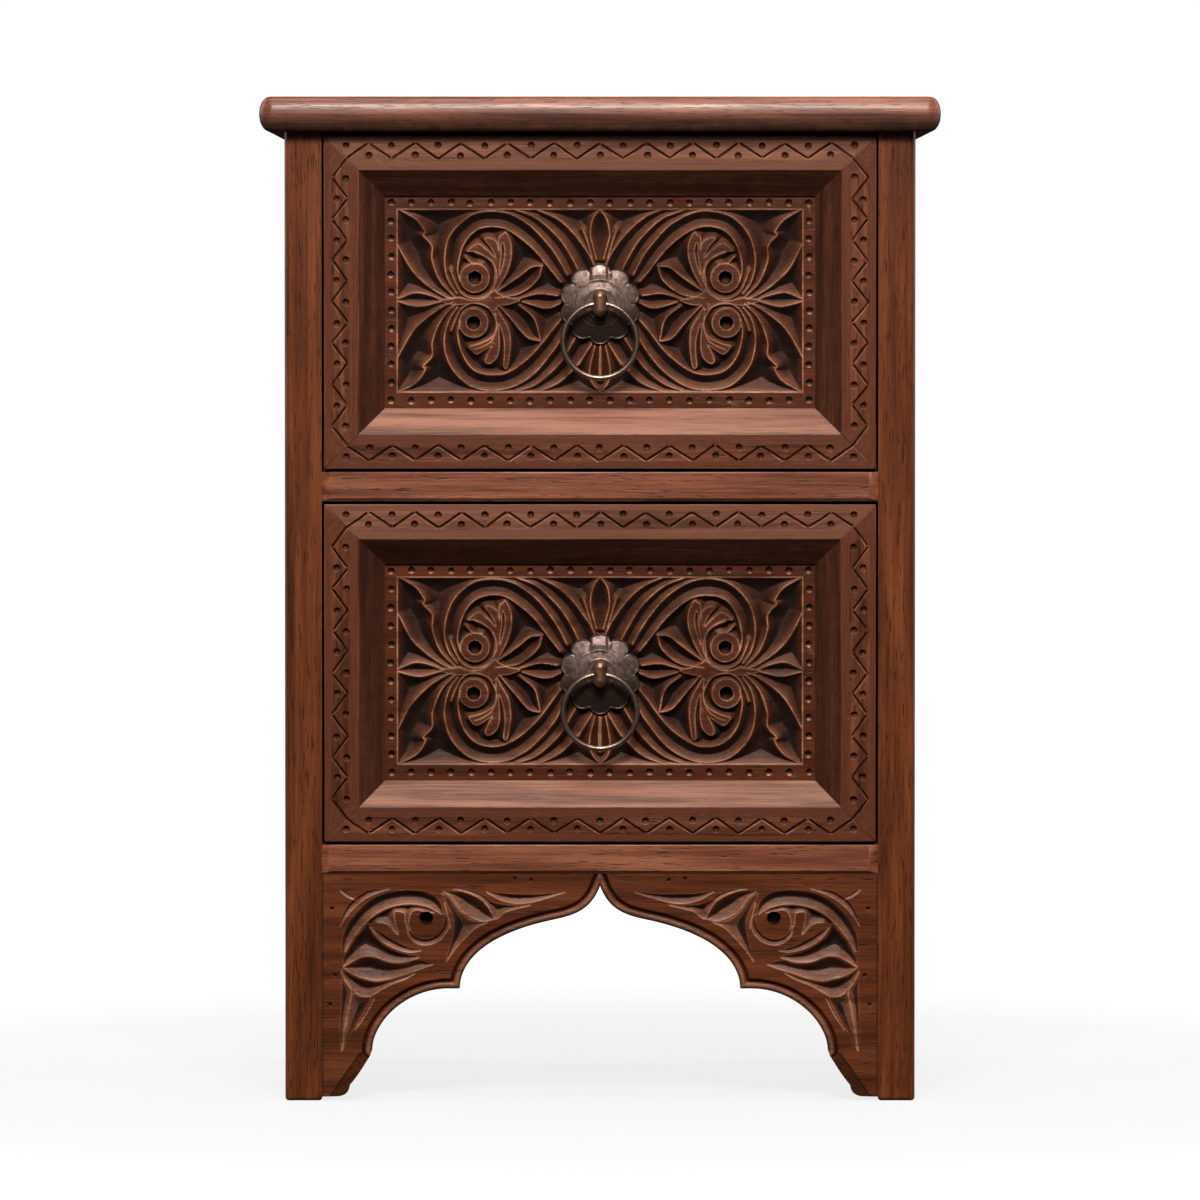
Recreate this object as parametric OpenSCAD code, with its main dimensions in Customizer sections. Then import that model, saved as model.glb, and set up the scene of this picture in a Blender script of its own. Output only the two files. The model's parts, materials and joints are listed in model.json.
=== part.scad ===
/* [Overall] */
// Height from the floor to the top surface
height = 650; // [635:5:690]
// Width across the two front posts
case_w = 408; // [380:2:480]
// Depth from the front posts' front faces to the back posts' back faces
case_d = 340; // [300:5:400]

/* [Top board] */
// Thickness of the top board
top_t = 22.5; // [18:0.5:28]
// Overhang of the top board at the front and at both sides
top_overhang = 16; // [10:1:26]
// Overhang of the top board at the back
top_back_overhang = 4; // [0:1:12]
// Depth of the top board's half-elliptical nosing
top_nose = 6.5; // [4:0.5:7.5]
// Rounding of the top board's front corners, seen from above
top_corner = 9; // [8:0.5:16]

/* [Posts] */
// Width of a post, seen from the front
post_w = 24; // [24:1:32]
// Depth of a post, seen from the side
post_d = 42; // [40:1:50]
// Rounding of a post's outer corner
post_round = 4; // [1:0.5:6]
// Rounding around a post's foot
foot_round = 2.5; // [1:0.5:4]

/* [Front rails] */
// Height of a front rail
rail_h = 19; // [17:1:24]
// Depth of a front rail
rail_d = 40; // [38:1:46]
// Length of the sloping end of a front rail's face
rail_end = 6; // [3:0.5:10]
// How far that end slopes back
rail_end_back = 2; // [0.5:0.25:3]
// Chamfer along a front rail's lower edge
rail_chamfer = 2.2; // [0.5:0.1:4]

/* [Side and back frames] */
// Thickness of a side or back rail
frame_rail_t = 18; // [16:0.5:20]
// Height of a top rail of the sides and back
frame_top_h = 45; // [40:1:60]
// Height of a bottom rail of the sides and back
frame_bottom_h = 40; // [36:1:56]
// How far the side and back rails lie inside the posts' outer faces
frame_inset = 2; // [1:0.5:3]
// Thickness of a side or back panel
case_panel_t = 7; // [5:0.5:8]
// Depth of the grooves that hold the side and back panels
case_groove = 8; // [6:0.5:10]
// Depth of the stretcher under the top board
stretcher_d = 40; // [30:1:60]
// Thickness of the stretcher under the top board
stretcher_t = 16; // [13:0.5:16]

/* [Joinery] */
// Play between a tenon, panel or board and its mortise or groove
joint_play = 0.1; // [0.05:0.05:0.3]
// Length of the front rails' tenons
rail_tenon_l = 14; // [10:1:16]
// Length of the side and back rails' tenons
frame_tenon_l = 18; // [14:1:20]
// Shoulder above and below each tenon
tenon_shoulder = 4; // [3:0.5:5]
// Thickness of the front rails' tenons
rail_tenon_t = 12; // [8:1:16]
// How far those tenons lie behind the posts' front faces
rail_tenon_setback = 6; // [4:1:10]
// Length of the stretcher's tenons
stretcher_tenon_l = 8; // [5:0.5:9]
// Gap between the upper drawer front and the stretcher
stretcher_gap = 4; // [2:0.5:8]
// Radius of a wooden dowel
dowel_r = 3; // [2:0.5:4]
// Length of a wooden dowel
dowel_l = 22; // [16:1:26]

/* [Drawer fronts] */
// Height of the upper drawer's front
upper_front_h = 215.5; // [200:0.5:222]
// Height of the lower drawer's front
lower_front_h = 218.5; // [200:0.5:226]
// Gap above and below a drawer front
drawer_gap = 2; // [1:0.25:3]
// Gap between the upper drawer front and the top board
top_gap = 2.5; // [1:0.25:4]
// Gap at each side of a drawer front
side_gap = 1.5; // [0.5:0.25:3]
// Thickness of a drawer front's frame
front_t = 26; // [24:1:30]
// Width of the frame's flat face
flat_w = 22.5; // [18:0.5:28]
// Width of the frame's sloping inner face, seen from the front
bevel_w = 16.5; // [12:0.5:20]
// How far the sloping face runs back
bevel_d = 14; // [10:0.5:15]
// Step from the sloping face down to the panel
panel_step = 1.5; // [1:0.25:2.5]
// How far the frame laps over the panel's edge
panel_lap = 7; // [5:0.5:8]
// Play around the carved panel in its rebate
panel_play = 0.3; // [0.1:0.1:0.8]

/* [Drawer boxes] */
// Gap between the upper drawer's sides and the kickers above them
upper_side_gap = 2.7; // [1:0.1:20]
// Gap between the lower drawer's sides and the runners above them
lower_side_gap = 8.2; // [1:0.1:30]
// Thickness of the drawer sides
side_t = 12; // [10:0.5:14]
// Thickness of the drawer backs
back_t = 12; // [9:0.5:15]
// Thickness of the drawer bottoms
bottom_t = 6; // [4:0.5:7]
// Height of a drawer bottom above its sides' lower edges
bottom_lift = 10; // [9:0.5:13]
// Depth of the grooves that hold a drawer bottom
bottom_groove = 5; // [3:0.5:6]
// Depth of the grooves in the sides that hold a drawer back
back_groove = 4; // [2:0.5:5]
// How deep a drawer side laps into the frame's stile
side_rebate = 10; // [7:0.5:12]
// Step of a drawer side inside the front's end
side_step = 0.5; // [0.25:0.25:1.5]
// How far the drawer sides run past the drawer back
back_setback = 6; // [2:0.5:12]
// Space behind a closed drawer
drawer_back_space = 9; // [4:1:30]
// Running play between a drawer and its runners
run_play = 0.3; // [0.2:0.05:0.6]
// Play between a drawer side and its guide
guide_play = 0.8; // [0.4:0.1:1.2]

/* [Runners] */
// Width of a runner's bearing surface inside the posts
runner_w = 22; // [18:1:30]
// Height of the guide above the bearing surface
guide_h = 20; // [10:1:30]
// Length of a runner's tenon in its front rail
runner_tenon_l = 8; // [5:1:12]
// Width of a runner's tenon
runner_tenon_w = 12; // [8:1:14]
// Height of the kicker strips above the upper drawer
kicker_h = 22; // [16:1:22]
// Width of the kicker strips
kicker_w = 20; // [12:1:30]
// Height of a drawer stop
stop_h = 6; // [4:0.5:7]
// Length of a drawer stop, from left to right
stop_l = 30; // [15:1:50]
// Distance of a drawer stop from the middle
stop_x = 100; // [60:1:120]
// Depth of a drawer stop, from front to back
stop_d = 11; // [8:0.5:12]
// Length of a wood screw
screw_l = 30; // [26:1:32]
// Radius of a wood screw's shank
screw_r = 1.75; // [1.25:0.25:2.5]
// Radius of a wood screw's head
screw_head_r = 3.5; // [3:0.25:4.5]
// Distance of the top board's screws from the posts and the back
screw_inset = 60; // [40:5:100]

/* [Brackets] */
// Thickness of an apron bracket
bracket_t = 16; // [12:0.5:20]
// How far a bracket's face lies behind the posts' faces
bracket_inset = 1.5; // [0.5:0.25:4]
// Gap between a bracket's foot and the floor
bracket_lift = 2.5; // [1:0.25:6]
// Height of the arch's point below the bottom rail
arch_point_drop = 8; // [5:0.5:12]
// Distance of the cusp from the post
cusp_out = 89; // [75:1:100]
// Distance of the cusp below the bottom rail
cusp_drop = 74.5; // [66:0.5:80]
// Distance of the bracket's lower leg edge from the post
leg_out = 32; // [26:1:38]
// Width of the bracket's toe
toe_out = 17.5; // [14:0.5:22]
// Distance of a bracket's nearer upper dowel from the post
bracket_dowel_near = 40; // [30:1:60]
// Distance of a bracket's farther upper dowel from the post
bracket_dowel_far = 110; // [90:1:150]
// Distance of a bracket's side dowel below the bottom rail
bracket_dowel_down = 60; // [30:1:90]
// Width of the moulding along the arch
rim_w = 5; // [3:0.5:7]
// How far the moulding lies behind the bracket's face
rim_back = 1.5; // [0.5:0.25:3]

/* [Carving] */
// Width of the border beside a carved field
border_side = 8; // [6:0.5:11]
// Width of the border above a carved field
border_top = 8.5; // [6:0.5:11]
// Width of the border below a carved field
border_bottom = 10.5; // [6:0.5:12]
// Depth of the ground round the scrolls and leaves
ground_depth = 4; // [2:0.25:5]
// Depth of the flutes and veins in the scrolls and leaves
flute_depth = 1.5; // [0.5:0.25:2]
// Radius of a scroll's drilled eye
eye_hole_r = 4.4; // [3:0.2:6]
// Depth of the chips carved in the brackets
chip_depth = 2.4; // [1:0.2:4]

/* [Ring pulls] */
// Distance of a pull's pivot in front of the carved panel
pull_reach = 13; // [11:0.5:16]
// Distance of a pull's pivot below the middle of its drawer front
pull_drop = 1; // [0:0.5:6]
// Radius of a pull ring, to the middle of its rod
ring_r = 24; // [20:0.5:30]
// Radius of a pull ring's rod
ring_rod_r = 1.8; // [1.4:0.1:2.1]
// Radius of the eye that the ring hangs in
eye_r = 2.7; // [2.6:0.1:3.1]
// Radius of the lug's ends
lug_r = 4.8; // [4.5:0.1:5.4]
// Radius of the lug's neck
lug_neck_r = 3.2; // [2.6:0.1:3.3]
// Thickness of the lug's collar
collar_t = 1.2; // [0.8:0.1:1.6]
// Height of the lug's upper ball above the pivot
lug_up = 4.2; // [3.5:0.1:5]
// Depth of the lug's lower ball below the pivot
lug_down = 3.6; // [3.4:0.1:4.4]
// Distance of the plate's petals from its middle
petal_out = 18.8; // [16:0.2:20]
// Radius of a petal
petal_r = 7.6; // [6:0.2:8.4]
// Thickness of the plate's edge
plate_t = 1.6; // [1:0.1:2.4]
// Height of the plate's domed middle
plate_dome = 5.2; // [3.4:0.1:6]
// Radius at which the plate's fall is steepest
plate_dome_r = 15; // [11:0.5:18]
// Radius of the pull's threaded tail
tail_r = 2.5; // [2:0.25:3]
// Thickness of the washer behind the panel
washer_t = 1.2; // [0.8:0.1:2]
// Radius of the washer behind the panel
washer_r = 7; // [6:0.5:9]
// Thickness of the hexagon nut
nut_t = 4; // [3:0.25:5]
// Radius of the hexagon nut, across its corners
nut_r = 4.9; // [4.4:0.1:6]

/* [Hidden] */
round_fn = 48;
nose_steps = 16;
corner_steps = 6;
// Thickness of a layer that only marks a level
hair = 0.01;
petals = 10;
drawer_wood = "#6b3a27";
case_wood = "#63341f";
carved_wood = "#5f3020";
inner_wood = "#9a7250";
plate_metal = "#5a4a42";
ring_metal = "#857558";
copper_metal = "#9c6045";
steel_metal = "#9a9a98";

y_front = top_overhang - (case_d + top_overhang + top_back_overhang) / 2;
y_back = y_front + case_d;
post_in = case_w / 2 - post_w;
top_under = height - top_t;

upper_front_z = top_under - top_gap - upper_front_h;
divider_z = upper_front_z - drawer_gap - rail_h;
lower_front_z = divider_z - drawer_gap - lower_front_h;
bottom_rail_z = lower_front_z - drawer_gap - rail_h;

upper_side_h = top_under - kicker_h - upper_side_gap - upper_front_z + drawer_gap - run_play;
lower_side_h = divider_z - lower_side_gap - lower_front_z + drawer_gap - run_play;
upper = [upper_front_z, upper_front_h, upper_side_h];
lower = [lower_front_z, lower_front_h, lower_side_h];

front_w = 2 * (post_in - side_gap);
member_w = flat_w + bevel_w;
panel_y = y_front + bevel_d + panel_step;
front_back_y = y_front + front_t;

side_frame_out = case_w / 2 - frame_inset;
side_frame_in = side_frame_out - frame_rail_t;
side_panel_x = (side_frame_out + side_frame_in) / 2;
back_frame_out = y_back - frame_inset;
back_frame_in = back_frame_out - frame_rail_t;
back_panel_y = (back_frame_out + back_frame_in) / 2;
post_front_back = y_front + post_d;
post_back_front = y_back - post_d;

drawer_end_y = back_frame_in - drawer_back_space;
box_out = front_w / 2 - side_step;
box_in = box_out - side_t;
stretcher_y = front_back_y + stretcher_gap;
stretcher_shoulder = 1;
guide_in = box_out + guide_play;

pivot_y = panel_y - pull_reach;
bore_play = 0.1;
nut_play = 0.05;
tail_end = 1.5;
collar_r = lug_r + 0.4;
plate_seat_r = petal_out + petal_r - 2.5;

// A point on a cubic curve with four control points
function curve_at(p, t) =
    pow(1 - t, 3) * p[0] + 3 * t * pow(1 - t, 2) * p[1]
    + 3 * t * t * (1 - t) * p[2] + pow(t, 3) * p[3];

// The points of a cubic curve after its first one
function curve(p, steps) = [for (i = [1 : steps]) curve_at(p, i / steps)];

// A box from its lowest to its highest corner
module box(low, high) {
    translate(low) cube(high - low);
}

// A flat outline in X and Z, extruded from one depth to another
module slab(y0, y1) {
    translate([0, y1, 0]) rotate([90, 0, 0]) linear_extrude(y1 - y0) children();
}

// A flat outline in Y and Z, extruded from one width to another
module across(x0, x1) {
    translate([x0, 0, 0]) rotate([90, 0, 90]) linear_extrude(x1 - x0) children();
}

// A rectangle with rounded corners
module round_rectangle(low, high, r) {
    translate(low + [r, r]) offset(r = r, $fn = round_fn)
        square(high - low - [2 * r, 2 * r]);
}

// Mirrors a right-hand piece to the left where side is -1
module hand(side) {
    if (side < 0) mirror([1, 0, 0]) children();
    else children();
}

// The top board's plan, its front and sides drawn in by some amount
function top_plan(inset) =
    let (
        x = case_w / 2 + top_overhang - top_corner,
        y = y_front - top_overhang + top_corner,
        y1 = y_back + top_back_overhang,
        r = top_corner - inset)
    concat(
        [[x + r, y1]],
        [for (i = [0:corner_steps]) let (a = -90 * i / corner_steps) [x + r * cos(a), y + r * sin(a)]],
        [for (i = [corner_steps:-1:0]) let (a = -90 * i / corner_steps) [-x - r * cos(a), y + r * sin(a)]],
        [[-x - r, y1]]);

// The top board, with a half-elliptical nosing at the front and both sides
module top_board() {
    color(case_wood) difference() {
        hull() for (i = [0:nose_steps]) let (a = 180 * i / nose_steps - 90)
            translate([0, 0, top_under + (top_t - hair) * (1 + sin(a)) / 2])
                linear_extrude(hair) polygon(top_plan(top_nose * (1 - cos(a))));
        top_screw_holes();
    }
}

// A post's outline with its foot rounded
module post_elevation(a, b) {
    round_rectangle([a, 0], [b, top_under + foot_round], foot_round);
}

// A post's plan, with its outer corner rounded; corner is the depth of that corner's face
module post_plan(y0, y1, outer_at_front) {
    x1 = case_w / 2;
    corner_y = outer_at_front ? y0 : y1;
    way = outer_at_front ? 1 : -1;
    difference() {
        translate([post_in, y0]) square([post_w, post_d]);
        translate([x1, corner_y]) difference() {
            translate([-post_round, outer_at_front ? 0 : -post_round]) square(post_round);
            translate([-post_round, way * post_round]) circle(post_round, $fn = round_fn);
        }
    }
}

// A right-hand post with no joints cut in it
module post_blank(y0, y1, outer_at_front) {
    intersection() {
        linear_extrude(top_under) post_plan(y0, y1, outer_at_front);
        slab(y0, y1) post_elevation(post_in, case_w / 2);
        across(post_in, case_w / 2) post_elevation(y0, y1);
    }
}

// The room that a side rail's tenon takes, reaching past both posts' faces by its length
module side_tenon(z, h, play) {
    box([side_panel_x - case_panel_t / 2 - play,
            post_front_back - frame_tenon_l - play, z + tenon_shoulder - play],
        [side_panel_x + case_panel_t / 2 + play,
            post_back_front + frame_tenon_l + play, z + h - tenon_shoulder + play]);
}

// The room that a back rail's tenons take
module back_tenon(z, h, play) {
    box([-post_in - rail_tenon_l - play, back_panel_y - case_panel_t / 2 - play,
            z + tenon_shoulder - play],
        [post_in + rail_tenon_l + play, back_panel_y + case_panel_t / 2 + play,
            z + h - tenon_shoulder + play]);
}

// The room that a front rail's tenons take
module rail_tenon(z, play) {
    y0 = y_front + rail_tenon_setback;
    box([-post_in - rail_tenon_l - play, y0 - play, z + tenon_shoulder - play],
        [post_in + rail_tenon_l + play, y0 + rail_tenon_t + play,
            z + rail_h - tenon_shoulder + play]);
}

// The room that the stretcher's tenons take
module stretcher_tenon(play) {
    z = top_under - stretcher_t;
    box([-post_in - stretcher_tenon_l - play, stretcher_y + stretcher_shoulder - play,
            z + tenon_shoulder - play],
        [post_in + stretcher_tenon_l + play, post_front_back - stretcher_shoulder + play,
            z + stretcher_t - tenon_shoulder + play]);
}

// The room that a side panel takes, with its edges in the grooves
module side_panel_room(play) {
    edge = case_groove + play;
    box([side_panel_x - case_panel_t / 2 - play, post_front_back - edge,
            bottom_rail_z + frame_bottom_h - edge],
        [side_panel_x + case_panel_t / 2 + play, post_back_front + edge,
            top_under - frame_top_h + edge]);
}

// The room that the back panel takes, with its edges in the grooves
module back_panel_room(play) {
    edge = case_groove + play;
    box([-post_in - edge, back_panel_y - case_panel_t / 2 - play,
            bottom_rail_z + frame_bottom_h - edge],
        [post_in + edge, back_panel_y + case_panel_t / 2 + play,
            top_under - frame_top_h + edge]);
}

// The mortises and the groove for the side frame
module side_frame_cuts() {
    side_tenon(bottom_rail_z, frame_bottom_h, joint_play);
    side_tenon(top_under - frame_top_h, frame_top_h, joint_play);
    side_panel_room(joint_play);
}

// A front post, with mortises for the rails, the stretcher and the side frame
module post_front(side) {
    color(case_wood) hand(side) difference() {
        post_blank(y_front, post_front_back, true);
        side_frame_cuts();
        rail_tenon(bottom_rail_z, joint_play);
        rail_tenon(divider_z, joint_play);
        stretcher_tenon(joint_play);
        bracket_dowel_post(bore_play);
    }
}

// A back post, with mortises for the side and back frames
module post_back(side) {
    color(case_wood) hand(side) difference() {
        post_blank(post_back_front, y_back, false);
        side_frame_cuts();
        back_tenon(bottom_rail_z, frame_bottom_h, joint_play);
        back_tenon(top_under - frame_top_h, frame_top_h, joint_play);
        back_panel_room(joint_play);
        runner_screw(lower, bore_play);
        runner_screw(upper, bore_play);
    }
}

// A side rail at height z, with a tenon at each end and a groove for the panel
module side_rail(side, z, h) {
    color(case_wood) hand(side) difference() {
        union() {
            box([side_frame_in, post_front_back, z], [side_frame_out, post_back_front, z + h]);
            side_tenon(z, h, 0);
        }
        side_panel_room(joint_play);
    }
}

module side_panel(side) {
    color(case_wood) hand(side) side_panel_room(0);
}

// A back rail at height z, with a tenon at each end and a groove for the panel
module back_rail(z, h) {
    color(case_wood) difference() {
        union() {
            box([-post_in, back_frame_in, z], [post_in, back_frame_out, z + h]);
            back_tenon(z, h, 0);
        }
        back_panel_room(joint_play);
    }
}

module back_panel() {
    color(case_wood) back_panel_room(0);
}

// The flat stretcher that ties the front posts together behind the upper drawer front
module top_stretcher() {
    color(inner_wood) difference() {
        union() {
            box([-post_in, stretcher_y, top_under - stretcher_t],
                [post_in, stretcher_y + stretcher_d, top_under]);
            stretcher_tenon(0);
        }
        top_screw_holes();
    }
}

// A front rail at height z: sloping ends, a chamfer below, tenons and the runners' mortises
module front_rail(z) {
    color(case_wood) difference() {
        union() {
            translate([0, 0, z]) linear_extrude(rail_h) polygon([
                [-post_in, y_front + rail_end_back],
                [-post_in + rail_end, y_front],
                [post_in - rail_end, y_front],
                [post_in, y_front + rail_end_back],
                [post_in, y_front + rail_d],
                [-post_in, y_front + rail_d]]);
            rail_tenon(z, 0);
        }
        across(-case_w, case_w) polygon([
            [y_front - 1, z - 1],
            [y_front + rail_chamfer + 1, z - 1],
            [y_front - 1, z + rail_chamfer + 1]]);
        for (side = [-1, 1]) hand(side) runner_tenon(z + rail_h, joint_play);
        if (z == bottom_rail_z) for (side = [-1, 1]) hand(side) bracket_dowel_rail(bore_play);
    }
}

// The height of the surface that a drawer runs on
function run_z(drawer) = drawer[0] - drawer_gap;

// The room that a runner's tenon takes in the rail in front of it, whose top is at z1
module runner_tenon(z1, play) {
    z = z1 - rail_h;
    x0 = post_in - runner_w + (runner_w - runner_tenon_w) / 2;
    y1 = y_front + rail_d;
    box([x0 - play, y1 - runner_tenon_l - play, z + tenon_shoulder - play],
        [x0 + runner_tenon_w + play, y1 + play, z + rail_h - tenon_shoulder + play]);
}

// A runner with its guide, from the front rail to the back frame
module runner(side, drawer) {
    z1 = run_z(drawer);
    z0 = z1 - rail_h;
    color(inner_wood) hand(side) difference() {
        union() {
            box([post_in - runner_w, y_front + rail_d, z0], [post_in, back_frame_in, z1]);
            box([post_in - 1, post_front_back, z0], [side_frame_in, post_back_front, z1]);
            box([guide_in, post_front_back, z1 - 1],
                [side_frame_in, post_back_front, z1 + guide_h]);
            runner_tenon(z1, 0);
        }
        runner_screw(drawer, bore_play);
    }
}

// A countersunk wood screw along X, with its head at the origin
module wood_screw(play) {
    rotate([0, 90, 0]) {
        cylinder(r = screw_r + play, h = screw_l + play, $fn = 24);
        translate([0, 0, -play]) cylinder(r1 = screw_head_r + play, r2 = screw_r + play / 2,
            h = screw_head_r - screw_r + play, $fn = 24);
    }
}

// The screw that holds a runner to its back post
module runner_screw(drawer, play) {
    translate([post_in - runner_w, (post_back_front + back_frame_in) / 2, run_z(drawer) - rail_h / 2])
        wood_screw(play);
}

module runner_screws() {
    color(steel_metal) for (side = [-1, 1], drawer = [lower, upper])
        hand(side) runner_screw(drawer, 0);
}

// Where the screws that hold the top board pass: two in the stretcher and one in each kicker
function top_screw_places() = [
    [post_in - screw_inset, stretcher_y + stretcher_d / 2, top_under - stretcher_t],
    [side_frame_in - kicker_w / 2, back_panel_y - screw_inset, top_under - kicker_h]];

module top_screw(place, play) {
    translate(place) rotate([0, -90, 0]) wood_screw(play);
}

module top_screw_holes() {
    for (side = [-1, 1], place = top_screw_places()) hand(side) top_screw(place, bore_play);
}

module top_screws() {
    color(steel_metal) for (side = [-1, 1], place = top_screw_places())
        hand(side) top_screw(place, 0);
}

// A strip under the top board that keeps the upper drawer from tipping
module kicker(side) {
    color(inner_wood) hand(side) difference() {
        box([side_frame_in - kicker_w, stretcher_y + stretcher_d, top_under - kicker_h],
            [side_frame_in, post_back_front, top_under]);
        top_screw(top_screw_places()[1], bore_play);
    }
}

// The blocks on the front rails that the closed drawer fronts rest against
module drawer_stops() {
    y0 = front_back_y + run_play;
    color(inner_wood) for (side = [-1, 1], drawer = [lower, upper])
        hand(side) translate([stop_x - stop_l / 2, y0, run_z(drawer)])
            cube([stop_l, stop_d, stop_h]);
}

// The bracket's outline: X from the post, Z down from the bottom rail
function bracket_outline() =
    let (
        point = [post_in, -arch_point_drop],
        turn = [post_in - 31, -arch_point_drop - 22],
        cusp = [cusp_out, -cusp_drop],
        flat = [cusp_out - 7, -cusp_drop],
        leg = [leg_out, 32 - bottom_rail_z],
        knee = [leg_out - 1, 29 - bottom_rail_z],
        heel = [toe_out, 9.5 - bottom_rail_z],
        floor_z = bracket_lift - bottom_rail_z)
    concat(
        [[0, 0], [post_in, 0], point],
        curve([point, point + [-6, -16], turn + [14, 3], turn], 8),
        curve([turn, turn + [-21, -4.4], cusp + [1, 28.4], cusp], 10),
        [flat],
        curve([flat, flat - [27, 0], leg + [1, 20], leg], 10),
        [knee],
        curve([knee, knee + [-5, -8], heel + [6, 7], heel], 4),
        curve([heel, heel - [0, 5], [toe_out - 4, floor_z], [toe_out - 8, floor_z]], 4),
        [[0, floor_z]]);

// The dowels that join a right-hand bracket to the bottom rail
module bracket_dowel_rail(play) {
    y = y_front + bracket_inset + bracket_t / 2;
    for (out = [bracket_dowel_near, bracket_dowel_far])
        translate([post_in - out, y, bottom_rail_z - dowel_l / 2 - play])
            cylinder(r = dowel_r + play, h = dowel_l + 2 * play, $fn = 24);
}

// The dowel that joins a right-hand bracket to its post
module bracket_dowel_post(play) {
    y = y_front + bracket_inset + bracket_t / 2;
    translate([post_in - dowel_l / 2 - play, y, bottom_rail_z - bracket_dowel_down]) rotate([0, 90, 0])
        cylinder(r = dowel_r + play, h = dowel_l + 2 * play, $fn = 24);
}

// A right-hand bracket's outline in its place, in X and Z
module bracket_shape() {
    translate([post_in, bottom_rail_z]) mirror([1, 0]) polygon(bracket_outline());
}

// The chips carved in a bracket: out from the post, and down from the bottom rail
bracket_chips = [
    [[29, 31.5], [36, 25], [46, 22], [55, 22.8], [47, 26], [38, 29]],
    [[18, 51], [22, 42], [26, 35], [30, 32.5], [31, 40], [27, 45]],
    [[32, 34], [42, 45], [54, 49], [63.5, 49.8], [52, 52.5], [38, 46]],
    [[47.5, 25], [47.5, 32], [49, 36], [52, 40], [46.5, 36], [45, 29]],
    [[13.8, 58.5], [26, 38], [34, 53], [60.8, 54.7], [44, 60], [32, 47]],
    [[14.4, 60.2], [34, 61], [52, 62.5], [71.3, 58.4], [52, 66], [36, 73]],
    [[12, 63], [22, 76], [40, 75], [54, 67.5], [34, 77], [17, 84]],
    [[12, 64], [24, 82], [15, 94], [12.5, 114.6], [11, 102], [10.5, 82]],
    [[78.6, 12.1], [92, 12], [98, 21], [111.4, 29.2], [98, 32], [88, 24]],
    [[91.6, 10.5], [100, 13], [106, 20], [111.8, 27.5], [109, 18], [101, 9]],
    [[106.6, 11.7], [120, 12.6], [140, 13.6], [158, 11.7], [140, 16], [122, 22]],
    [[112.8, 27.6], [114, 22], [122, 22], [133.3, 20.3], [124, 22.5], [116, 26]],
    [[81, 56], [84, 38], [86, 28], [87, 20], [94, 33], [88, 36]]];

// The edges of a bracket's scroll, from its foot over its top to its eye
bracket_scroll_outer = concat([[12.2, 52]],
    curve([[12.2, 52], [13, 28], [28, 11], [54.6, 11]], 6),
    curve([[54.6, 11], [69, 11], [78, 15], [78.1, 24]], 5));
bracket_scroll_inner = concat([[16.5, 50.5]],
    curve([[16.5, 50.5], [24, 34], [38, 19.4], [54.6, 19.4]], 6),
    curve([[54.6, 19.4], [62, 19.4], [68, 21], [72.5, 26]], 5));
bracket_eye = [67.9, 28.4];

// The shapes that are cut in a bracket's face
module bracket_carving() {
    offset(delta = 0.1) {
        polygon(strip(bracket_scroll_outer, bracket_scroll_inner));
        for (p = bracket_chips) polygon(leaf(p));
        translate(bracket_eye) difference() {
            circle(13.2, $fn = 32);
            circle(11.6, $fn = 32);
            square(40);
            rotate(120) square([3, 40]);
        }
    }
}

// An apron bracket, its arch edged with a stepped moulding
module apron_bracket(side) {
    y0 = y_front + bracket_inset;
    color(carved_wood) hand(side) difference() {
        union() {
            slab(y0 + rim_back, y0 + bracket_t) bracket_shape();
            slab(y0, y0 + rim_back + 1) intersection() {
                bracket_shape();
                offset(delta = -rim_w) union() {
                    bracket_shape();
                    translate([-rim_w * 2, bottom_rail_z - 0.01])
                        square([post_in + rim_w * 4, rim_w * 2]);
                    translate([post_in - 0.01, bracket_lift - rim_w * 2])
                        square([rim_w * 2, bottom_rail_z + rim_w * 2]);
                }
            }
        }
        translate([post_in, 0, bottom_rail_z]) mirror([1, 0, 0]) mirror([0, 0, 1]) {
            slab(y0 - 1, y0 + chip_depth) bracket_carving();
            translate([bracket_eye[0], y0 + chip_depth, bracket_eye[1]]) rotate([90, 0, 0])
                cylinder(r = eye_hole_r, h = chip_depth + 1, $fn = 24);
        }
        bracket_dowel_rail(bore_play);
        bracket_dowel_post(bore_play);
    }
}

module bracket_dowels() {
    color(inner_wood) for (side = [-1, 1]) hand(side) {
        bracket_dowel_rail(0);
        bracket_dowel_post(0);
    }
}

// The section of a front frame member: inwards from its edge, and back from its face
function member_section() = [
    [0, 0],
    [flat_w, 0],
    [member_w, bevel_d],
    [member_w, bevel_d + panel_step],
    [member_w - panel_lap, bevel_d + panel_step],
    [member_w - panel_lap, front_t],
    [0, front_t]];

// A straight member as long as length, lying along X, its outer edge at the origin
module member(length) {
    across(-length / 2, length / 2)
        polygon([for (p = member_section()) [p[1], p[0]]]);
}

// The four mitred quarters of a drawer front: 0 bottom, 1 right, 2 top, 3 left
module mitre(drawer, quarter) {
    w = front_w / 2;
    h = drawer[1] / 2;
    m = member_w;
    outer = [[-w, -h], [w, -h], [w, h], [-w, h]];
    inner = [[m - w, m - h], [w - m, m - h], [w - m, h - m], [m - w, h - m]];
    next = (quarter + 1) % 4;
    slab(y_front, front_back_y) translate([0, drawer[0] + h])
        polygon([outer[quarter], outer[next], inner[next], inner[quarter]]);
}

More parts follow.
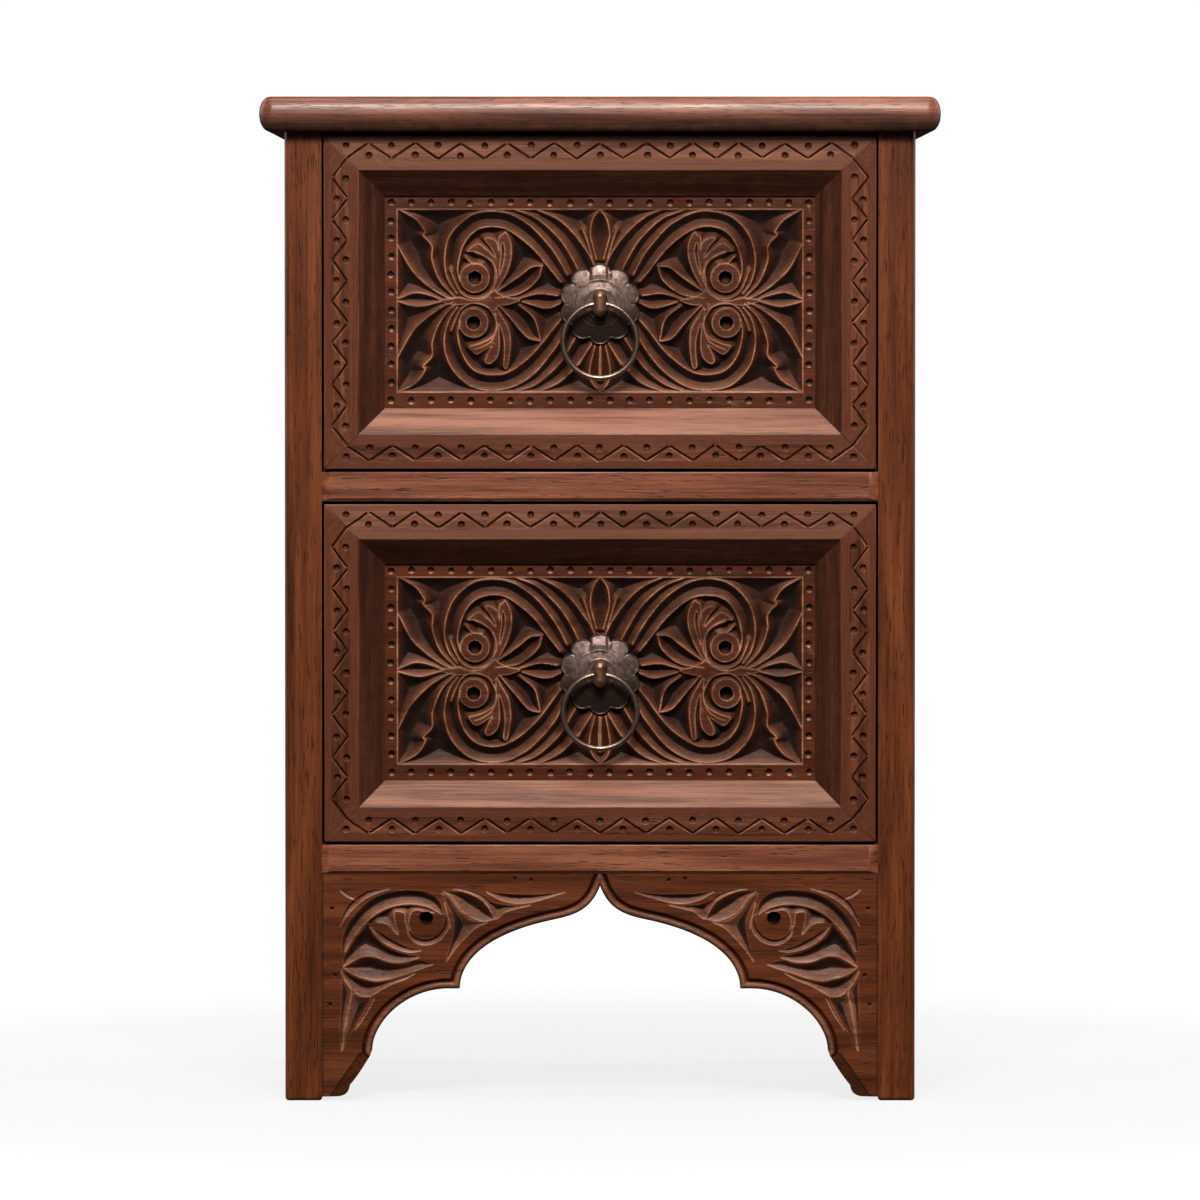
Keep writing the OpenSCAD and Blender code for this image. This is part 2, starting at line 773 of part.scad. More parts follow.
// One member of a drawer front's mitred frame
module front_member(drawer, quarter) {
    w = front_w;
    h = drawer[1];
    length = quarter % 2 == 0 ? w : h;
    reach = quarter % 2 == 0 ? h / 2 : w / 2;
    color(drawer_wood) difference() {
        intersection() {
            translate([0, y_front, drawer[0] + h / 2]) rotate([0, -90 * quarter, 0])
                translate([0, 0, -reach]) member(length);
            mitre(drawer, quarter);
        }
        for (side = [-1, 1]) hand(side) drawer_side_room(drawer, joint_play);
        drawer_bottom_room(drawer, joint_play);
    }
}

// A leaf between two tips: the first tip, the two pulls of one edge, the second tip, and
// the two pulls of the other edge on its way back
function leaf(p, steps = 6) = concat([p[0]],
    curve([p[0], p[1], p[2], p[3]], steps),
    [for (i = [1 : steps - 1]) curve_at([p[3], p[4], p[5], p[0]], i / steps)]);

// The outline between two edges that run the same way
function strip(a, b) = concat(a, [for (i = [len(b) - 1 : -1 : 0]) b[i]]);

// The line part of the way from one edge to another
function between(a, b, part) = [for (i = [0 : len(a) - 1]) a[i] * (1 - part) + b[i] * part];

// The big scroll's edges, from the stem over its top to the middle of the panel
scroll_outer = concat([[93, 1]],
    curve([[93, 1], [98.5, 8], [100.7, 16], [100.7, 26]], 4),
    curve([[100.7, 26], [100.7, 44], [86.8, 59.6], [68.6, 59.6]], 6),
    curve([[68.6, 59.6], [50, 59.6], [33, 40], [20, 16]], 5));
scroll_inner = concat([[83, 1]],
    curve([[83, 1], [89.5, 4], [92.2, 12], [92.2, 25.8]], 4),
    curve([[92.2, 25.8], [92.2, 38.5], [81.5, 48.1], [68.6, 48.1]], 6),
    curve([[68.6, 48.1], [53, 48.1], [38.5, 34], [25, 11]], 5));

// The middle and the radius of the scroll's round eye
scroll_eye = [81.1, 15.1];
scroll_eye_r = 9.4;

// The leaves of a quarter of the motif: out from the middle of the field, and up from it
quarter_leaves = [
    [[0, 60], [8.5, 48], [7, 36], [0, 18], [-1, 36], [-1, 48]],
    [[58, 60], [44, 54], [31, 40], [19, 16], [25, 36], [36, 50]],
    [[49, 60], [34.5, 51], [23.5, 37], [13, 19], [11, 38], [22, 51]],
    [[131.5, 60], [105, 48], [112, 22], [94, 0], [112, 14], [142, 34]],
    [[131.5, 35], [124, 30], [112, 12], [92, 0], [108, 3], [122, 17]],
    [[131, 0], [121, 7], [112, 7.5], [98, 0], [112, -3], [121, -3]],
    [[24, 0], [34, 7], [42, 7.5], [56, 0], [42, -3], [34, -3]],
    [[50, 0], [66, 7], [84, -1], [106, 2], [96, -3], [60, -3]],
    [[68, 2], [58, 14], [50, 21], [37.9, 22.7], [39, 12], [48, 4]],
    [[72, 0], [66, 13], [69, 24], [61.5, 44.1], [54, 38], [59, 22]],
    [[66, 14], [68, 30], [71, 36], [74, 41.4], [67, 40], [62, 30]],
    [[65, 12], [71, 26], [77, 28], [85, 31], [82, 38], [70, 34]]];

// The flutes and veins cut in those leaves
quarter_veins = [
    [[0, 55], [4, 46], [3.5, 36], [0, 24], [-1, 36], [-1, 46]],
    [[129, 55], [114, 38], [108, 18], [97, 2.5], [110, 17], [120, 38]],
    [[130, 38.5], [124, 32], [113, 13], [99, 1.5], [114, 11.5], [126, 29]],
    [[129, 0], [121, 4.5], [113, 4.5], [104, 0], [113, -1], [121, -1]],
    [[26, 0], [34, 4.5], [42, 4.5], [50, 0], [42, -1], [34, -1]],
    [[39.5, 21.5], [48, 19.5], [56, 13], [63, 6], [55, 9], [47, 13.5]],
    [[62, 40], [59, 32], [61, 20], [66, 11], [64, 20], [63, 32]]];

// The size of a quarter of the field that those points are drawn for
quarter_size = [131, 60];

// The four mirrored quarters of a motif, drawn over a field of the given size
module four_quarters(field) {
    fit = [field[0] / 2 / quarter_size[0], field[1] / 2 / quarter_size[1]];
    for (u = [-1, 1], v = [-1, 1]) scale([u * fit[0], v * fit[1]]) children();
}

// The raised scrolls and leaves, and the round seat of the pull's plate
module motif(field) {
    offset(delta = 0.3) {
        four_quarters(field) {
            polygon(strip(scroll_outer, scroll_inner));
            for (p = quarter_leaves) polygon(leaf(p));
            translate(scroll_eye) circle(scroll_eye_r, $fn = 24);
        }
        circle(plate_seat_r, $fn = round_fn);
    }
}

// The flutes of the scrolls and the veins of the leaves
module motif_flutes(field) {
    offset(delta = 0.1) difference() {
        four_quarters(field) {
            polygon(strip(between(scroll_outer, scroll_inner, 0.28),
                between(scroll_outer, scroll_inner, 0.74)));
            for (p = quarter_veins) polygon(leaf(p));
        }
        circle(plate_seat_r + flute_depth, $fn = round_fn);
    }
}

// The middle and the size of a drawer's carved field
function field_size(drawer) = [front_w - 2 * (member_w + border_side),
    drawer[1] - 2 * member_w - border_top - border_bottom];
function field_z(drawer) = drawer[0] + (drawer[1] + border_bottom - border_top) / 2;

// The carved panel: the sunk ground, the flutes, the drilled eyes and the pull's bore
module carved_panel(drawer) {
    edge = panel_lap - panel_play;
    w = front_w / 2 - member_w + edge;
    h = drawer[1] / 2 - member_w + edge;
    mid = drawer[0] + drawer[1] / 2;
    field = field_size(drawer);
    color(carved_wood) difference() {
        box([-w, panel_y, mid - h], [w, front_back_y, mid + h]);
        translate([0, 0, field_z(drawer)]) {
            slab(panel_y - 1, panel_y + ground_depth) offset(delta = -0.01) difference() {
                square(field, center = true);
                motif(field);
            }
            slab(panel_y - 1, panel_y + flute_depth) motif_flutes(field);
            for (u = [-1, 1], v = [-1, 1])
                translate([u * field[0] / 2 * scroll_eye[0] / quarter_size[0],
                        panel_y + ground_depth,
                        v * field[1] / 2 * scroll_eye[1] / quarter_size[1]]) rotate([90, 0, 0])
                    cylinder(r = eye_hole_r, h = ground_depth + 1, $fn = 24);
        }
        pull_bore(drawer);
    }
}

// The room that a right-hand drawer side takes
module drawer_side_room(drawer, play) {
    z0 = run_z(drawer) + run_play;
    box([box_in - play, front_back_y - side_rebate - play, z0 - play],
        [box_out + (play > 0 ? side_step + 1 : 0), drawer_end_y, z0 + drawer[2] + play]);
}

// The room that a drawer bottom takes, with its edges in the grooves
module drawer_bottom_room(drawer, play) {
    z0 = run_z(drawer) + run_play + bottom_lift;
    x = box_in + bottom_groove + play;
    box([-x, front_back_y - bottom_groove - play, z0 - play],
        [x, drawer_end_y, z0 + bottom_t + play]);
}

// The room that a drawer back takes, with its ends in the sides' grooves
module drawer_back_room(drawer, play) {
    z0 = run_z(drawer) + run_play;
    x = box_in + back_groove + play;
    y1 = drawer_end_y - back_setback;
    box([-x, y1 - back_t - play, z0 + bottom_lift + bottom_t],
        [x, y1 + play, z0 + drawer[2] + (play > 0 ? 1 : 0)]);
}

module drawer_side(side, drawer) {
    color(inner_wood) hand(side) difference() {
        drawer_side_room(drawer, 0);
        drawer_bottom_room(drawer, joint_play);
        drawer_back_room(drawer, joint_play);
    }
}

module drawer_back(drawer) {
    color(inner_wood) drawer_back_room(drawer, 0);
}

module drawer_bottom(drawer) {
    color(inner_wood) drawer_bottom_room(drawer, 0);
}

// The height of a pull's pivot
function pivot_z(drawer) = drawer[0] + drawer[1] / 2 - pull_drop;

// Puts a shape drawn along Z, front side up, at a drawer's pull, from the panel's face
module at_pull(drawer) {
    translate([0, panel_y, pivot_z(drawer)]) rotate([90, 0, 0]) children();
}

module pull_bore(drawer) {
    at_pull(drawer) translate([0, 0, -front_t]) cylinder(r = tail_r + bore_play,
        h = front_t + 1, $fn = round_fn);
}

// The plate: ten petals that fall away from a low dome
module pull_plate(drawer) {
    rim = petal_out + petal_r;
    color(plate_metal) at_pull(drawer) difference() {
        intersection() {
            linear_extrude(plate_dome + 1) {
                circle(petal_out, $fn = round_fn);
                for (i = [0 : petals - 1]) rotate(90 + i * 360 / petals)
                    translate([petal_out, 0]) circle(petal_r, $fn = round_fn);
            }
            rotate_extrude($fn = round_fn) polygon(concat(
                [[0, 0], [rim + 1, 0], [rim + 1, plate_t]],
                curve([[rim, plate_t], [plate_dome_r + 4, plate_t + 1],
                    [plate_dome_r - 2, plate_dome], [collar_r + 3, plate_dome]], 8),
                [[0, plate_dome]]));
        }
        translate([0, 0, -1]) cylinder(r = tail_r + bore_play, h = plate_dome + 2,
            $fn = round_fn);
    }
}

// The lug: a collar and neck on a threaded tail, a round-ended body, and the ring's eye
module pull_post(drawer) {
    tail_l = front_back_y - panel_y + washer_t + nut_t + tail_end;
    color(copper_metal) at_pull(drawer) difference() {
        union() {
            rotate_extrude($fn = round_fn) polygon([[0, -tail_l], [tail_r, -tail_l],
                [tail_r, plate_dome], [collar_r, plate_dome],
                [collar_r, plate_dome + collar_t], [lug_neck_r, plate_dome + collar_t],
                [lug_neck_r, pull_reach], [0, pull_reach]]);
            translate([0, -lug_down, pull_reach]) rotate([-90, 0, 0])
                cylinder(r = lug_r, h = lug_up + lug_down, $fn = round_fn);
            translate([0, lug_up, pull_reach]) sphere(lug_r, $fn = round_fn);
            translate([0, -lug_down, pull_reach]) sphere(lug_r, $fn = round_fn);
        }
        translate([-2 * lug_r, 0, pull_reach]) rotate([0, 90, 0])
            cylinder(r = eye_r, h = 4 * lug_r, $fn = round_fn);
    }
}

// The washer and nut that hold the pull behind the panel
module pull_nut(drawer) {
    color(steel_metal) at_pull(drawer) translate([0, 0, panel_y - front_back_y]) difference() {
        union() {
            translate([0, 0, -washer_t]) cylinder(r = washer_r, h = washer_t, $fn = round_fn);
            translate([0, 0, -washer_t - nut_t]) cylinder(r = nut_r, h = nut_t + 0.1, $fn = 6);
        }
        translate([0, 0, -washer_t - nut_t - 1])
            cylinder(r = tail_r + nut_play, h = washer_t + nut_t + 2, $fn = round_fn);
    }
}

// The ring, hanging from the eye
module pull_ring(drawer) {
    color(ring_metal) translate([0, pivot_y, pivot_z(drawer) - ring_r]) rotate([90, 0, 0])
        rotate_extrude($fn = 2 * round_fn) translate([ring_r, 0])
            circle(ring_rod_r, $fn = round_fn);
}

top_board();
post_front(-1);  // post_front_left
post_front(1);  // post_front_right
post_back(-1);  // post_back_left
post_back(1);  // post_back_right
side_rail(-1, top_under - frame_top_h, frame_top_h);  // side_top_rail_left
side_rail(1, top_under - frame_top_h, frame_top_h);  // side_top_rail_right
side_rail(-1, bottom_rail_z, frame_bottom_h);  // side_bottom_rail_left
side_rail(1, bottom_rail_z, frame_bottom_h);  // side_bottom_rail_right
side_panel(-1);  // side_panel_left
side_panel(1);  // side_panel_right
back_rail(top_under - frame_top_h, frame_top_h);  // back_top_rail
back_rail(bottom_rail_z, frame_bottom_h);  // back_bottom_rail
back_panel();
top_stretcher();
front_rail(divider_z);  // divider_rail
front_rail(bottom_rail_z);  // bottom_rail
runner(-1, upper);  // upper_runner_left
runner(1, upper);  // upper_runner_right
runner(-1, lower);  // lower_runner_left
runner(1, lower);  // lower_runner_right
kicker(-1);  // kicker_left
kicker(1);  // kicker_right
drawer_stops();
apron_bracket(-1);  // apron_bracket_left
apron_bracket(1);  // apron_bracket_right
bracket_dowels();
runner_screws();
top_screws();
front_member(upper, 2);  // upper_front_top
front_member(upper, 0);  // upper_front_bottom
front_member(upper, 3);  // upper_front_left
front_member(upper, 1);  // upper_front_right
carved_panel(upper);  // upper_carved_panel
drawer_side(-1, upper);  // upper_side_left
drawer_side(1, upper);  // upper_side_right
drawer_back(upper);  // upper_drawer_back
drawer_bottom(upper);  // upper_drawer_bottom
pull_plate(upper);  // upper_pull_plate
pull_post(upper);  // upper_pull_post
pull_nut(upper);  // upper_pull_nut
pull_ring(upper);  // upper_pull_ring
front_member(lower, 2);  // lower_front_top
front_member(lower, 0);  // lower_front_bottom
front_member(lower, 3);  // lower_front_left
front_member(lower, 1);  // lower_front_right
carved_panel(lower);  // lower_carved_panel
drawer_side(-1, lower);  // lower_side_left
drawer_side(1, lower);  // lower_side_right
drawer_back(lower);  // lower_drawer_back
drawer_bottom(lower);  // lower_drawer_bottom
pull_plate(lower);  // lower_pull_plate
pull_post(lower);  // lower_pull_post
pull_nut(lower);  // lower_pull_nut
pull_ring(lower);  // lower_pull_ring
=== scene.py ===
import json
import math
import random

import bmesh
import bpy
import numpy as np
from mathutils import Matrix, Vector, kdtree, noise

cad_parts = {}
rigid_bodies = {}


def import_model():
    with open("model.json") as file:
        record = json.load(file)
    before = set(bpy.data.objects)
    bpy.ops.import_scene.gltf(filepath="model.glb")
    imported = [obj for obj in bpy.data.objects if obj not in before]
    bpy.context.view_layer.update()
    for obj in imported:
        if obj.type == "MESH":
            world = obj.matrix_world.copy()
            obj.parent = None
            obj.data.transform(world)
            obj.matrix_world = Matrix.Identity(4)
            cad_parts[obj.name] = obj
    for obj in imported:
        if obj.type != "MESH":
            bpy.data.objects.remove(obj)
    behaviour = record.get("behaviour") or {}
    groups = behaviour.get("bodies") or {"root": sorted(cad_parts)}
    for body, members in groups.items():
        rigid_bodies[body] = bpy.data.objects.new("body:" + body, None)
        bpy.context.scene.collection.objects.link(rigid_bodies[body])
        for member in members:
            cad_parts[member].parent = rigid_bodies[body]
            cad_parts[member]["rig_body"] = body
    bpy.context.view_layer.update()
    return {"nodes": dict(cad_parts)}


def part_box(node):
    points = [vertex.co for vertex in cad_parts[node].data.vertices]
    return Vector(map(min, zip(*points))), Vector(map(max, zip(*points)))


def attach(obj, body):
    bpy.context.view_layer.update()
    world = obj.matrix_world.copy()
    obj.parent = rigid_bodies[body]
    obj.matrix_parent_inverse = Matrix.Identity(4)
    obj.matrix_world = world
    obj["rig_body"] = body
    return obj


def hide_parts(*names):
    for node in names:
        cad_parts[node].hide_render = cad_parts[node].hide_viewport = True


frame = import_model()
mm = 0.001  # the pieces below are drawn in millimetres

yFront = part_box("upper_front_top")[0].y / mm
drawers = ("upper", "lower")


def linearColour(code):
    parts = [int(code[i:i + 2], 16) / 255 for i in (1, 3, 5)]
    return [c / 12.92 if c <= 0.04045 else ((c + 0.055) / 1.055) ** 2.4 for c in parts] + [1.0]


def addNode(tree, kind, inputs=None, stops=None, **settings):
    node = tree.nodes.new("ShaderNode" + kind)
    for name, value in settings.items():
        setattr(node, name, value)
    for place, value in (inputs or {}).items():
        if isinstance(value, bpy.types.NodeSocket):
            tree.links.new(value, node.inputs[place])
        else:
            node.inputs[place].default_value = value
    for i, (position, code) in enumerate(stops or []):
        ramp = node.color_ramp.elements
        stop = ramp[i] if i < len(ramp) else ramp.new(position)
        stop.position = position
        stop.color = linearColour(code)
    return node


def remap(tree, value, low, high, toLow=0.0, toHigh=1.0):
    return addNode(tree, "MapRange", {0: value, 1: low, 2: high, 3: toLow, 4: toHigh}).outputs[0]


def calculate(tree, how, *values):
    return addNode(tree, "Math", dict(enumerate(values)), operation=how).outputs[0]


def vertexTone(tree, name):
    return addNode(tree, "Attribute", attribute_name=name).outputs["Fac"]


def newMaterial(name):
    material = bpy.data.materials.new(name)
    material.use_nodes = True
    material.node_tree.nodes.clear()
    return material, material.node_tree


# Wood: open-pored reddish hardwood, planed or carved by hand, oiled and waxed until it shines
# softly. Long grain in dark and light streaks, short dark pores. Hollows and shaded faces are
# painted darker (dirt and painted shade), arrises and lit faces paler (wear and painted light).
woodLooks = {
    "post": dict(dark="#451f0b", mid="#6d3619", light="#8c4c29", pore="#2c1207", gloss=0.31,
                 mirror=0.3, dirtAndShadeColour="#150a06", wearAndHighlight="#a8663f", contrast=0.85),
    "rail": dict(dark="#572918", mid="#884c33", light="#a96849", pore="#34170d", gloss=0.31,
                 mirror=0.4, dirtAndShadeColour="#200b02", wearAndHighlight="#c08466", contrast=1.0),
    "front": dict(dark="#3e1b0b", mid="#673621", light="#8a4f36", pore="#240f07", gloss=0.33,
                  mirror=0.24, dirtAndShadeColour="#240a00", wearAndHighlight="#cf9276", contrast=0.9),
    "carved": dict(dark="#331506", mid="#562611", light="#6f361d", pore="#25100a", gloss=0.33,
                   mirror=0.24, dirtAndShadeColour="#0e0401", wearAndHighlight="#eaab86", contrast=0.7),
    "apron": dict(dark="#3f1c09", mid="#653017", light="#824526", pore="#25100a", gloss=0.33,
                  mirror=0.24, dirtAndShadeColour="#0e0401", wearAndHighlight="#e4a585", contrast=0.8),
    "inner": dict(dark="#8a5a3a", mid="#a8744e", light="#c08f66", pore="#6b4530", gloss=0.6,
                  mirror=0.5, dirtAndShadeColour="#4a3322", wearAndHighlight="#b8926c", contrast=0.6),
}
grainNoises = {  # millimetres along and across the grain, detail, roughness, a shift of its own
    "figure": (520, 46, 1.2, 0.45, 0.0), "streak": (190, 7.5, 3.0, 0.6, 3.7),
    "fibre": (46, 1.3, 4.0, 0.65, 9.1), "pore": (11, 0.75, 1.0, 0.5, 5.3)}
grainMix = {
    "rings": 58.0, "ringTone": 0.09, "fibreTone": 0.2, "spread": 0.28, "endFrom": 0.6,
    "endTo": 0.9, "speck": 0.6, "poreFrom": 0.33, "poreTo": 0.41, "poreDark": 0.75,
    "poreHeight": -0.8, "patch": 9, "patchLeast": 0.75, "paleTo": 0.65, "paleLeast": 0.35,
    "duller": 0.1, "shinier": 0.06, "recessDull": 0.5, "bump": 0.35, "bumpHeight": 0.25}
noiseRange = (0.3, 0.7)  # most of a noise lies between these two values
axes = {"X": 0, "Y": 1, "Z": 2}


def wood(name, grain, kind):
    look, mix = woodLooks[kind], grainMix
    material, tree = newMaterial(name)
    where = addNode(tree, "TexCoord").outputs
    place, board = where["Object"], vertexTone(tree, "board")

    def grainNoise(along, across, detail, roughness, offset):
        scale = [1 / (across * mm)] * 3
        scale[axes[grain]] = 1 / (along * mm)
        stretched = addNode(tree, "Mapping", {"Vector": place, "Scale": scale}).outputs[0]
        return addNode(tree, "TexNoise", {
            "Vector": stretched, "W": calculate(tree, "ADD", board, offset), "Scale": 1.0,
            "Detail": detail, "Roughness": roughness}, noise_dimensions="4D").outputs["Fac"]

    def blend(factor, first, second):
        return addNode(tree, "Mix", {0: factor, 6: first, 7: linearColour(second)},
                       data_type="RGBA", clamp_factor=True).outputs[2]

    figure, streak, fibre, pore = (grainNoise(*values) for values in grainNoises.values())
    # growth rings are the level lines of a slow figure, so they run and close like cathedrals
    rings = calculate(tree, "SINE", calculate(tree, "MULTIPLY", figure, mix["rings"]))
    ringTone = remap(tree, rings, -1.0, 1.0, -mix["ringTone"], mix["ringTone"])
    fibreTone = remap(tree, fibre, *noiseRange, -mix["fibreTone"], mix["fibreTone"])
    mixed = calculate(tree, "ADD", calculate(tree, "ADD", streak, ringTone), fibreTone)
    half = mix["spread"] / look["contrast"]
    spread = remap(tree, mixed, 0.5 - half, 0.5 + half)
    # end grain drinks the oil: it is darker and even, with the pores as specks
    facing = addNode(tree, "SeparateXYZ", {0: where["Normal"]}).outputs[axes[grain]]
    atEnd = remap(tree, calculate(tree, "ABSOLUTE", facing), mix["endFrom"], mix["endTo"])
    specks = remap(tree, fibre, *noiseRange, 0.0, mix["speck"])
    spread = addNode(tree, "Mix", {0: atEnd, 2: spread, 3: specks}).outputs[0]
    colour = addNode(tree, "ValToRGB", {0: spread}, stops=[
        (0.0, look["dark"]), (0.5, look["mid"]), (1.0, look["light"])]).outputs[0]
    pores = remap(tree, pore, mix["poreFrom"], mix["poreTo"], mix["poreDark"], 0.0)
    colour = blend(pores, colour, look["pore"])
    # painted shade: one vertex tone darkens hollows and shaded faces towards the dark colour,
    # partly dirt
    dirtAndShade = vertexTone(tree, "dirtAndShade")
    patchy = addNode(tree, "TexNoise", {
        "Vector": place, "Scale": 1 / (mix["patch"] * mm), "Detail": 3.0}).outputs["Fac"]
    patchyDarkening = remap(tree, patchy, *noiseRange, mix["patchLeast"], 1.0)
    # painted highlight: another vertex tone makes arrises and lit faces paler, partly wear
    paleShare = remap(tree, mixed, noiseRange[0], mix["paleTo"], mix["paleLeast"], 1.0)
    paleShare = calculate(tree, "MULTIPLY", vertexTone(tree, "wearAndHighlight"), paleShare)
    colour = blend(paleShare, colour, look["wearAndHighlight"])
    colour = blend(calculate(tree, "MULTIPLY", dirtAndShade, patchyDarkening), colour, look["dirtAndShadeColour"])
    sheen = remap(tree, fibre, *noiseRange, look["gloss"] + mix["duller"],
                  look["gloss"] - mix["shinier"])
    sheen = calculate(tree, "MULTIPLY_ADD", dirtAndShade, mix["recessDull"], sheen)
    height = calculate(tree, "MULTIPLY_ADD", pores, mix["poreHeight"], fibre)
    bump = addNode(tree, "Bump", {
        "Height": height, "Strength": mix["bump"], "Distance": mix["bumpHeight"] * mm})
    shader = addNode(tree, "BsdfPrincipled", {
        "Base Color": colour, "Roughness": sheen, "Normal": bump.outputs[0],
        "Specular IOR Level": look["mirror"]})
    addNode(tree, "OutputMaterial", {"Surface": shader.outputs[0]})
    return material


# Metals: each is worn bright on its high places and has darkened in its low ones.
metalLooks = {
    # pressed sheet iron with a brown patina: dull, grey where the light catches its lobes
    "plate": dict(low="#3c2a23", high="#92786c", rough=0.37, patch=3.2, dents=0.2, metal=0.7),
    # cast copper lug, rubbed by the ring and the hand: warm, with one bright spot
    "lug": dict(low="#5a3a28", high="#c49478", rough=0.33, patch=5.0, dents=0.1, metal=0.85),
    # bent and soldered brass rod, gone brown: a bright line along the light, dark beside it
    "ring": dict(low="#695343", high="#a89280", rough=0.27, patch=4.0, dents=0.08, metal=0.92),
    # zinc-plated turned steel: even pale grey
    "screw": dict(low="#7c7d7e", high="#b4b5b6", rough=0.35, patch=4.0, dents=0.05, metal=1.0),
}
metalMix = {"dent": 0.9, "dentHeight": 0.4, "lowTo": 0.3, "highFrom": 0.72, "duller": 0.12}


def metal(name, kind):
    look, mix = metalLooks[kind], metalMix
    material, tree = newMaterial(name)
    place = addNode(tree, "TexCoord").outputs["Object"]
    patches = addNode(tree, "TexNoise", {
        "Vector": place, "Scale": 1 / (look["patch"] * mm), "Detail": 5.0,
        "Roughness": 0.6}).outputs["Fac"]
    fine = addNode(tree, "TexNoise", {
        "Vector": place, "Scale": 1 / (mix["dent"] * mm), "Detail": 2.0}).outputs["Fac"]
    colour = addNode(tree, "ValToRGB", {0: patches}, stops=[
        (mix["lowTo"], look["low"]), (mix["highFrom"], look["high"])]).outputs[0]
    # a vertex tone darkens towards the low colour: patina in low places, and painted shade on the
    # plate's lower half
    shade = addNode(tree, "Mix", {
        0: vertexTone(tree, "dirtAndShade"), 6: colour, 7: linearColour(look["low"])},
        data_type="RGBA", clamp_factor=True).outputs[2]
    rough = remap(tree, patches, *noiseRange, look["rough"] + mix["duller"], look["rough"])
    bump = addNode(tree, "Bump", {
        "Height": calculate(tree, "ADD", patches, fine), "Strength": look["dents"],
        "Distance": mix["dentHeight"] * mm})
    shader = addNode(tree, "BsdfPrincipled", {
        "Base Color": shade, "Metallic": look["metal"], "Roughness": rough,
        "Normal": bump.outputs[0]})
    addNode(tree, "OutputMaterial", {"Surface": shader.outputs[0]})
    return material


woods = {(kind, grain): wood(f"waxed_{kind}_wood_{grain}", grain, kind)
         for kind, grains in (("post", "YZ"), ("rail", "X"), ("front", "XZ"), ("carved", "X"),
                              ("apron", "X"), ("inner", "XY")) for grain in grains}
metals = {kind: metal(f"aged_{kind}_metal", kind) for kind in metalLooks}
print("materials made")


# Shared tools for the pieces
boards = {}


def boardNumber(name):
    return boards.setdefault(name, 1.7 * (len(boards) + 1))  # each board has grain of its own


def placeMesh(name, mesh, material, body, replaced):
    mesh.materials.clear()
    mesh.materials.append(material)
    board = mesh.attributes.new("board", "FLOAT", "POINT")
    board.data.foreach_set("value", np.full(len(mesh.vertices), boardNumber(name)))
    piece = bpy.data.objects.new(name, mesh)
    bpy.context.scene.collection.objects.link(piece)
    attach(piece, body)
    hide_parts(*replaced)
    return piece


def meshOf(bm, name):
    mesh = bpy.data.meshes.new(name)
    bm.to_mesh(mesh)
    bm.free()
    return mesh


def clamp(value, low=0, high=1):
    return min(max(value, low), high)


def share(values):
    return np.clip(values, 0, 1)


def boxOf(node):
    return [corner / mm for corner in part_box(node)]


def applyModifiers(piece):
    graph = bpy.context.evaluated_depsgraph_get()
    made = bpy.data.meshes.new_from_object(piece.evaluated_get(graph))
    old = piece.data
    piece.modifiers.clear()
    piece.data = made
    bpy.data.meshes.remove(old)


def smoothShade(mesh, angle):
    mesh.shade_smooth()
    mesh.set_sharp_from_angle(angle=math.radians(angle))


def keepFlat(piece):
    weighted = piece.modifiers.new("flat faces stay flat", "WEIGHTED_NORMAL")
    weighted.keep_sharp = True


def standUp(bm, origin):
    # a piece that was drawn lying down, face up, is stood upright, facing forwards
    stand = Matrix.Translation(origin) @ Matrix.Rotation(math.pi / 2, 4, "X")
    bmesh.ops.transform(bm, matrix=Matrix.Scale(mm, 4) @ stand, verts=bm.verts)
    bmesh.ops.recalc_face_normals(bm, faces=bm.faces)


def nodeCopy(node):
    bm = bmesh.new()
    bm.from_mesh(frame["nodes"][node].data)
    bmesh.ops.remove_doubles(bm, verts=bm.verts, dist=0.002 * mm)
    bmesh.ops.dissolve_limit(bm, angle_limit=math.radians(0.3), verts=bm.verts, edges=bm.edges)
    return bm


def outerEdges(bm):
    # the long arrises: edges whose two ends lie on two of the board's own outer planes
    low = [min(v.co[i] for v in bm.verts) for i in range(3)]
    high = [max(v.co[i] for v in bm.verts) for i in range(3)]

    def planes(v):
        return {(i, s) for i in range(3) for s, p in ((0, low), (1, high))
                if abs(v.co[i] - p[i]) < 0.01 * mm}
    return [e for e in bm.edges if len(planes(e.verts[0]) & planes(e.verts[1])) >= 2]


def ease(bm, edges, width):
    bmesh.ops.bevel(bm, geom=edges, offset=width * mm, offset_type="OFFSET", segments=2,
                    profile=0.5, affect="EDGES", material=-1, clamp_overlap=True)


def bodyOf(node):
    return frame["nodes"][node]["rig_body"]


# Plain boards: the CAD board with its arrises eased, in its own piece of wood
caseRail, backRail = (("rail", "X", "case_wood", eased) for eased in (0.5, 0.7))
post, sideRail = ("post", "Z", "case_wood", 0.0), ("post", "Y", "case_wood", 0.7)
runner, boxSide = (("inner", "Y", slotName, 0.6) for slotName in ("frame_wood", "drawer_box_wood"))
plainBoards = {  # the kind of wood, which way its grain runs, the slot, and how much is eased
    "top_board": ("rail", "X", "case_wood", 0.0), "divider_rail": caseRail,
    "bottom_rail": caseRail, "back_top_rail": backRail, "back_bottom_rail": backRail,
    "back_panel": post, "top_stretcher": ("inner", "X", "frame_wood", 0.6),
    "drawer_stops": ("inner", "X", "frame_wood", 0.0)}
for side in ("left", "right"):
    for place, board in (("post_front_", post), ("post_back_", post), ("side_top_rail_", sideRail),
                         ("side_bottom_rail_", sideRail), ("side_panel_", post),
                         ("kicker_", runner), ("upper_runner_", runner), ("upper_side_", boxSide),
                         ("lower_runner_", runner), ("lower_side_", boxSide)):
        plainBoards[place + side] = board
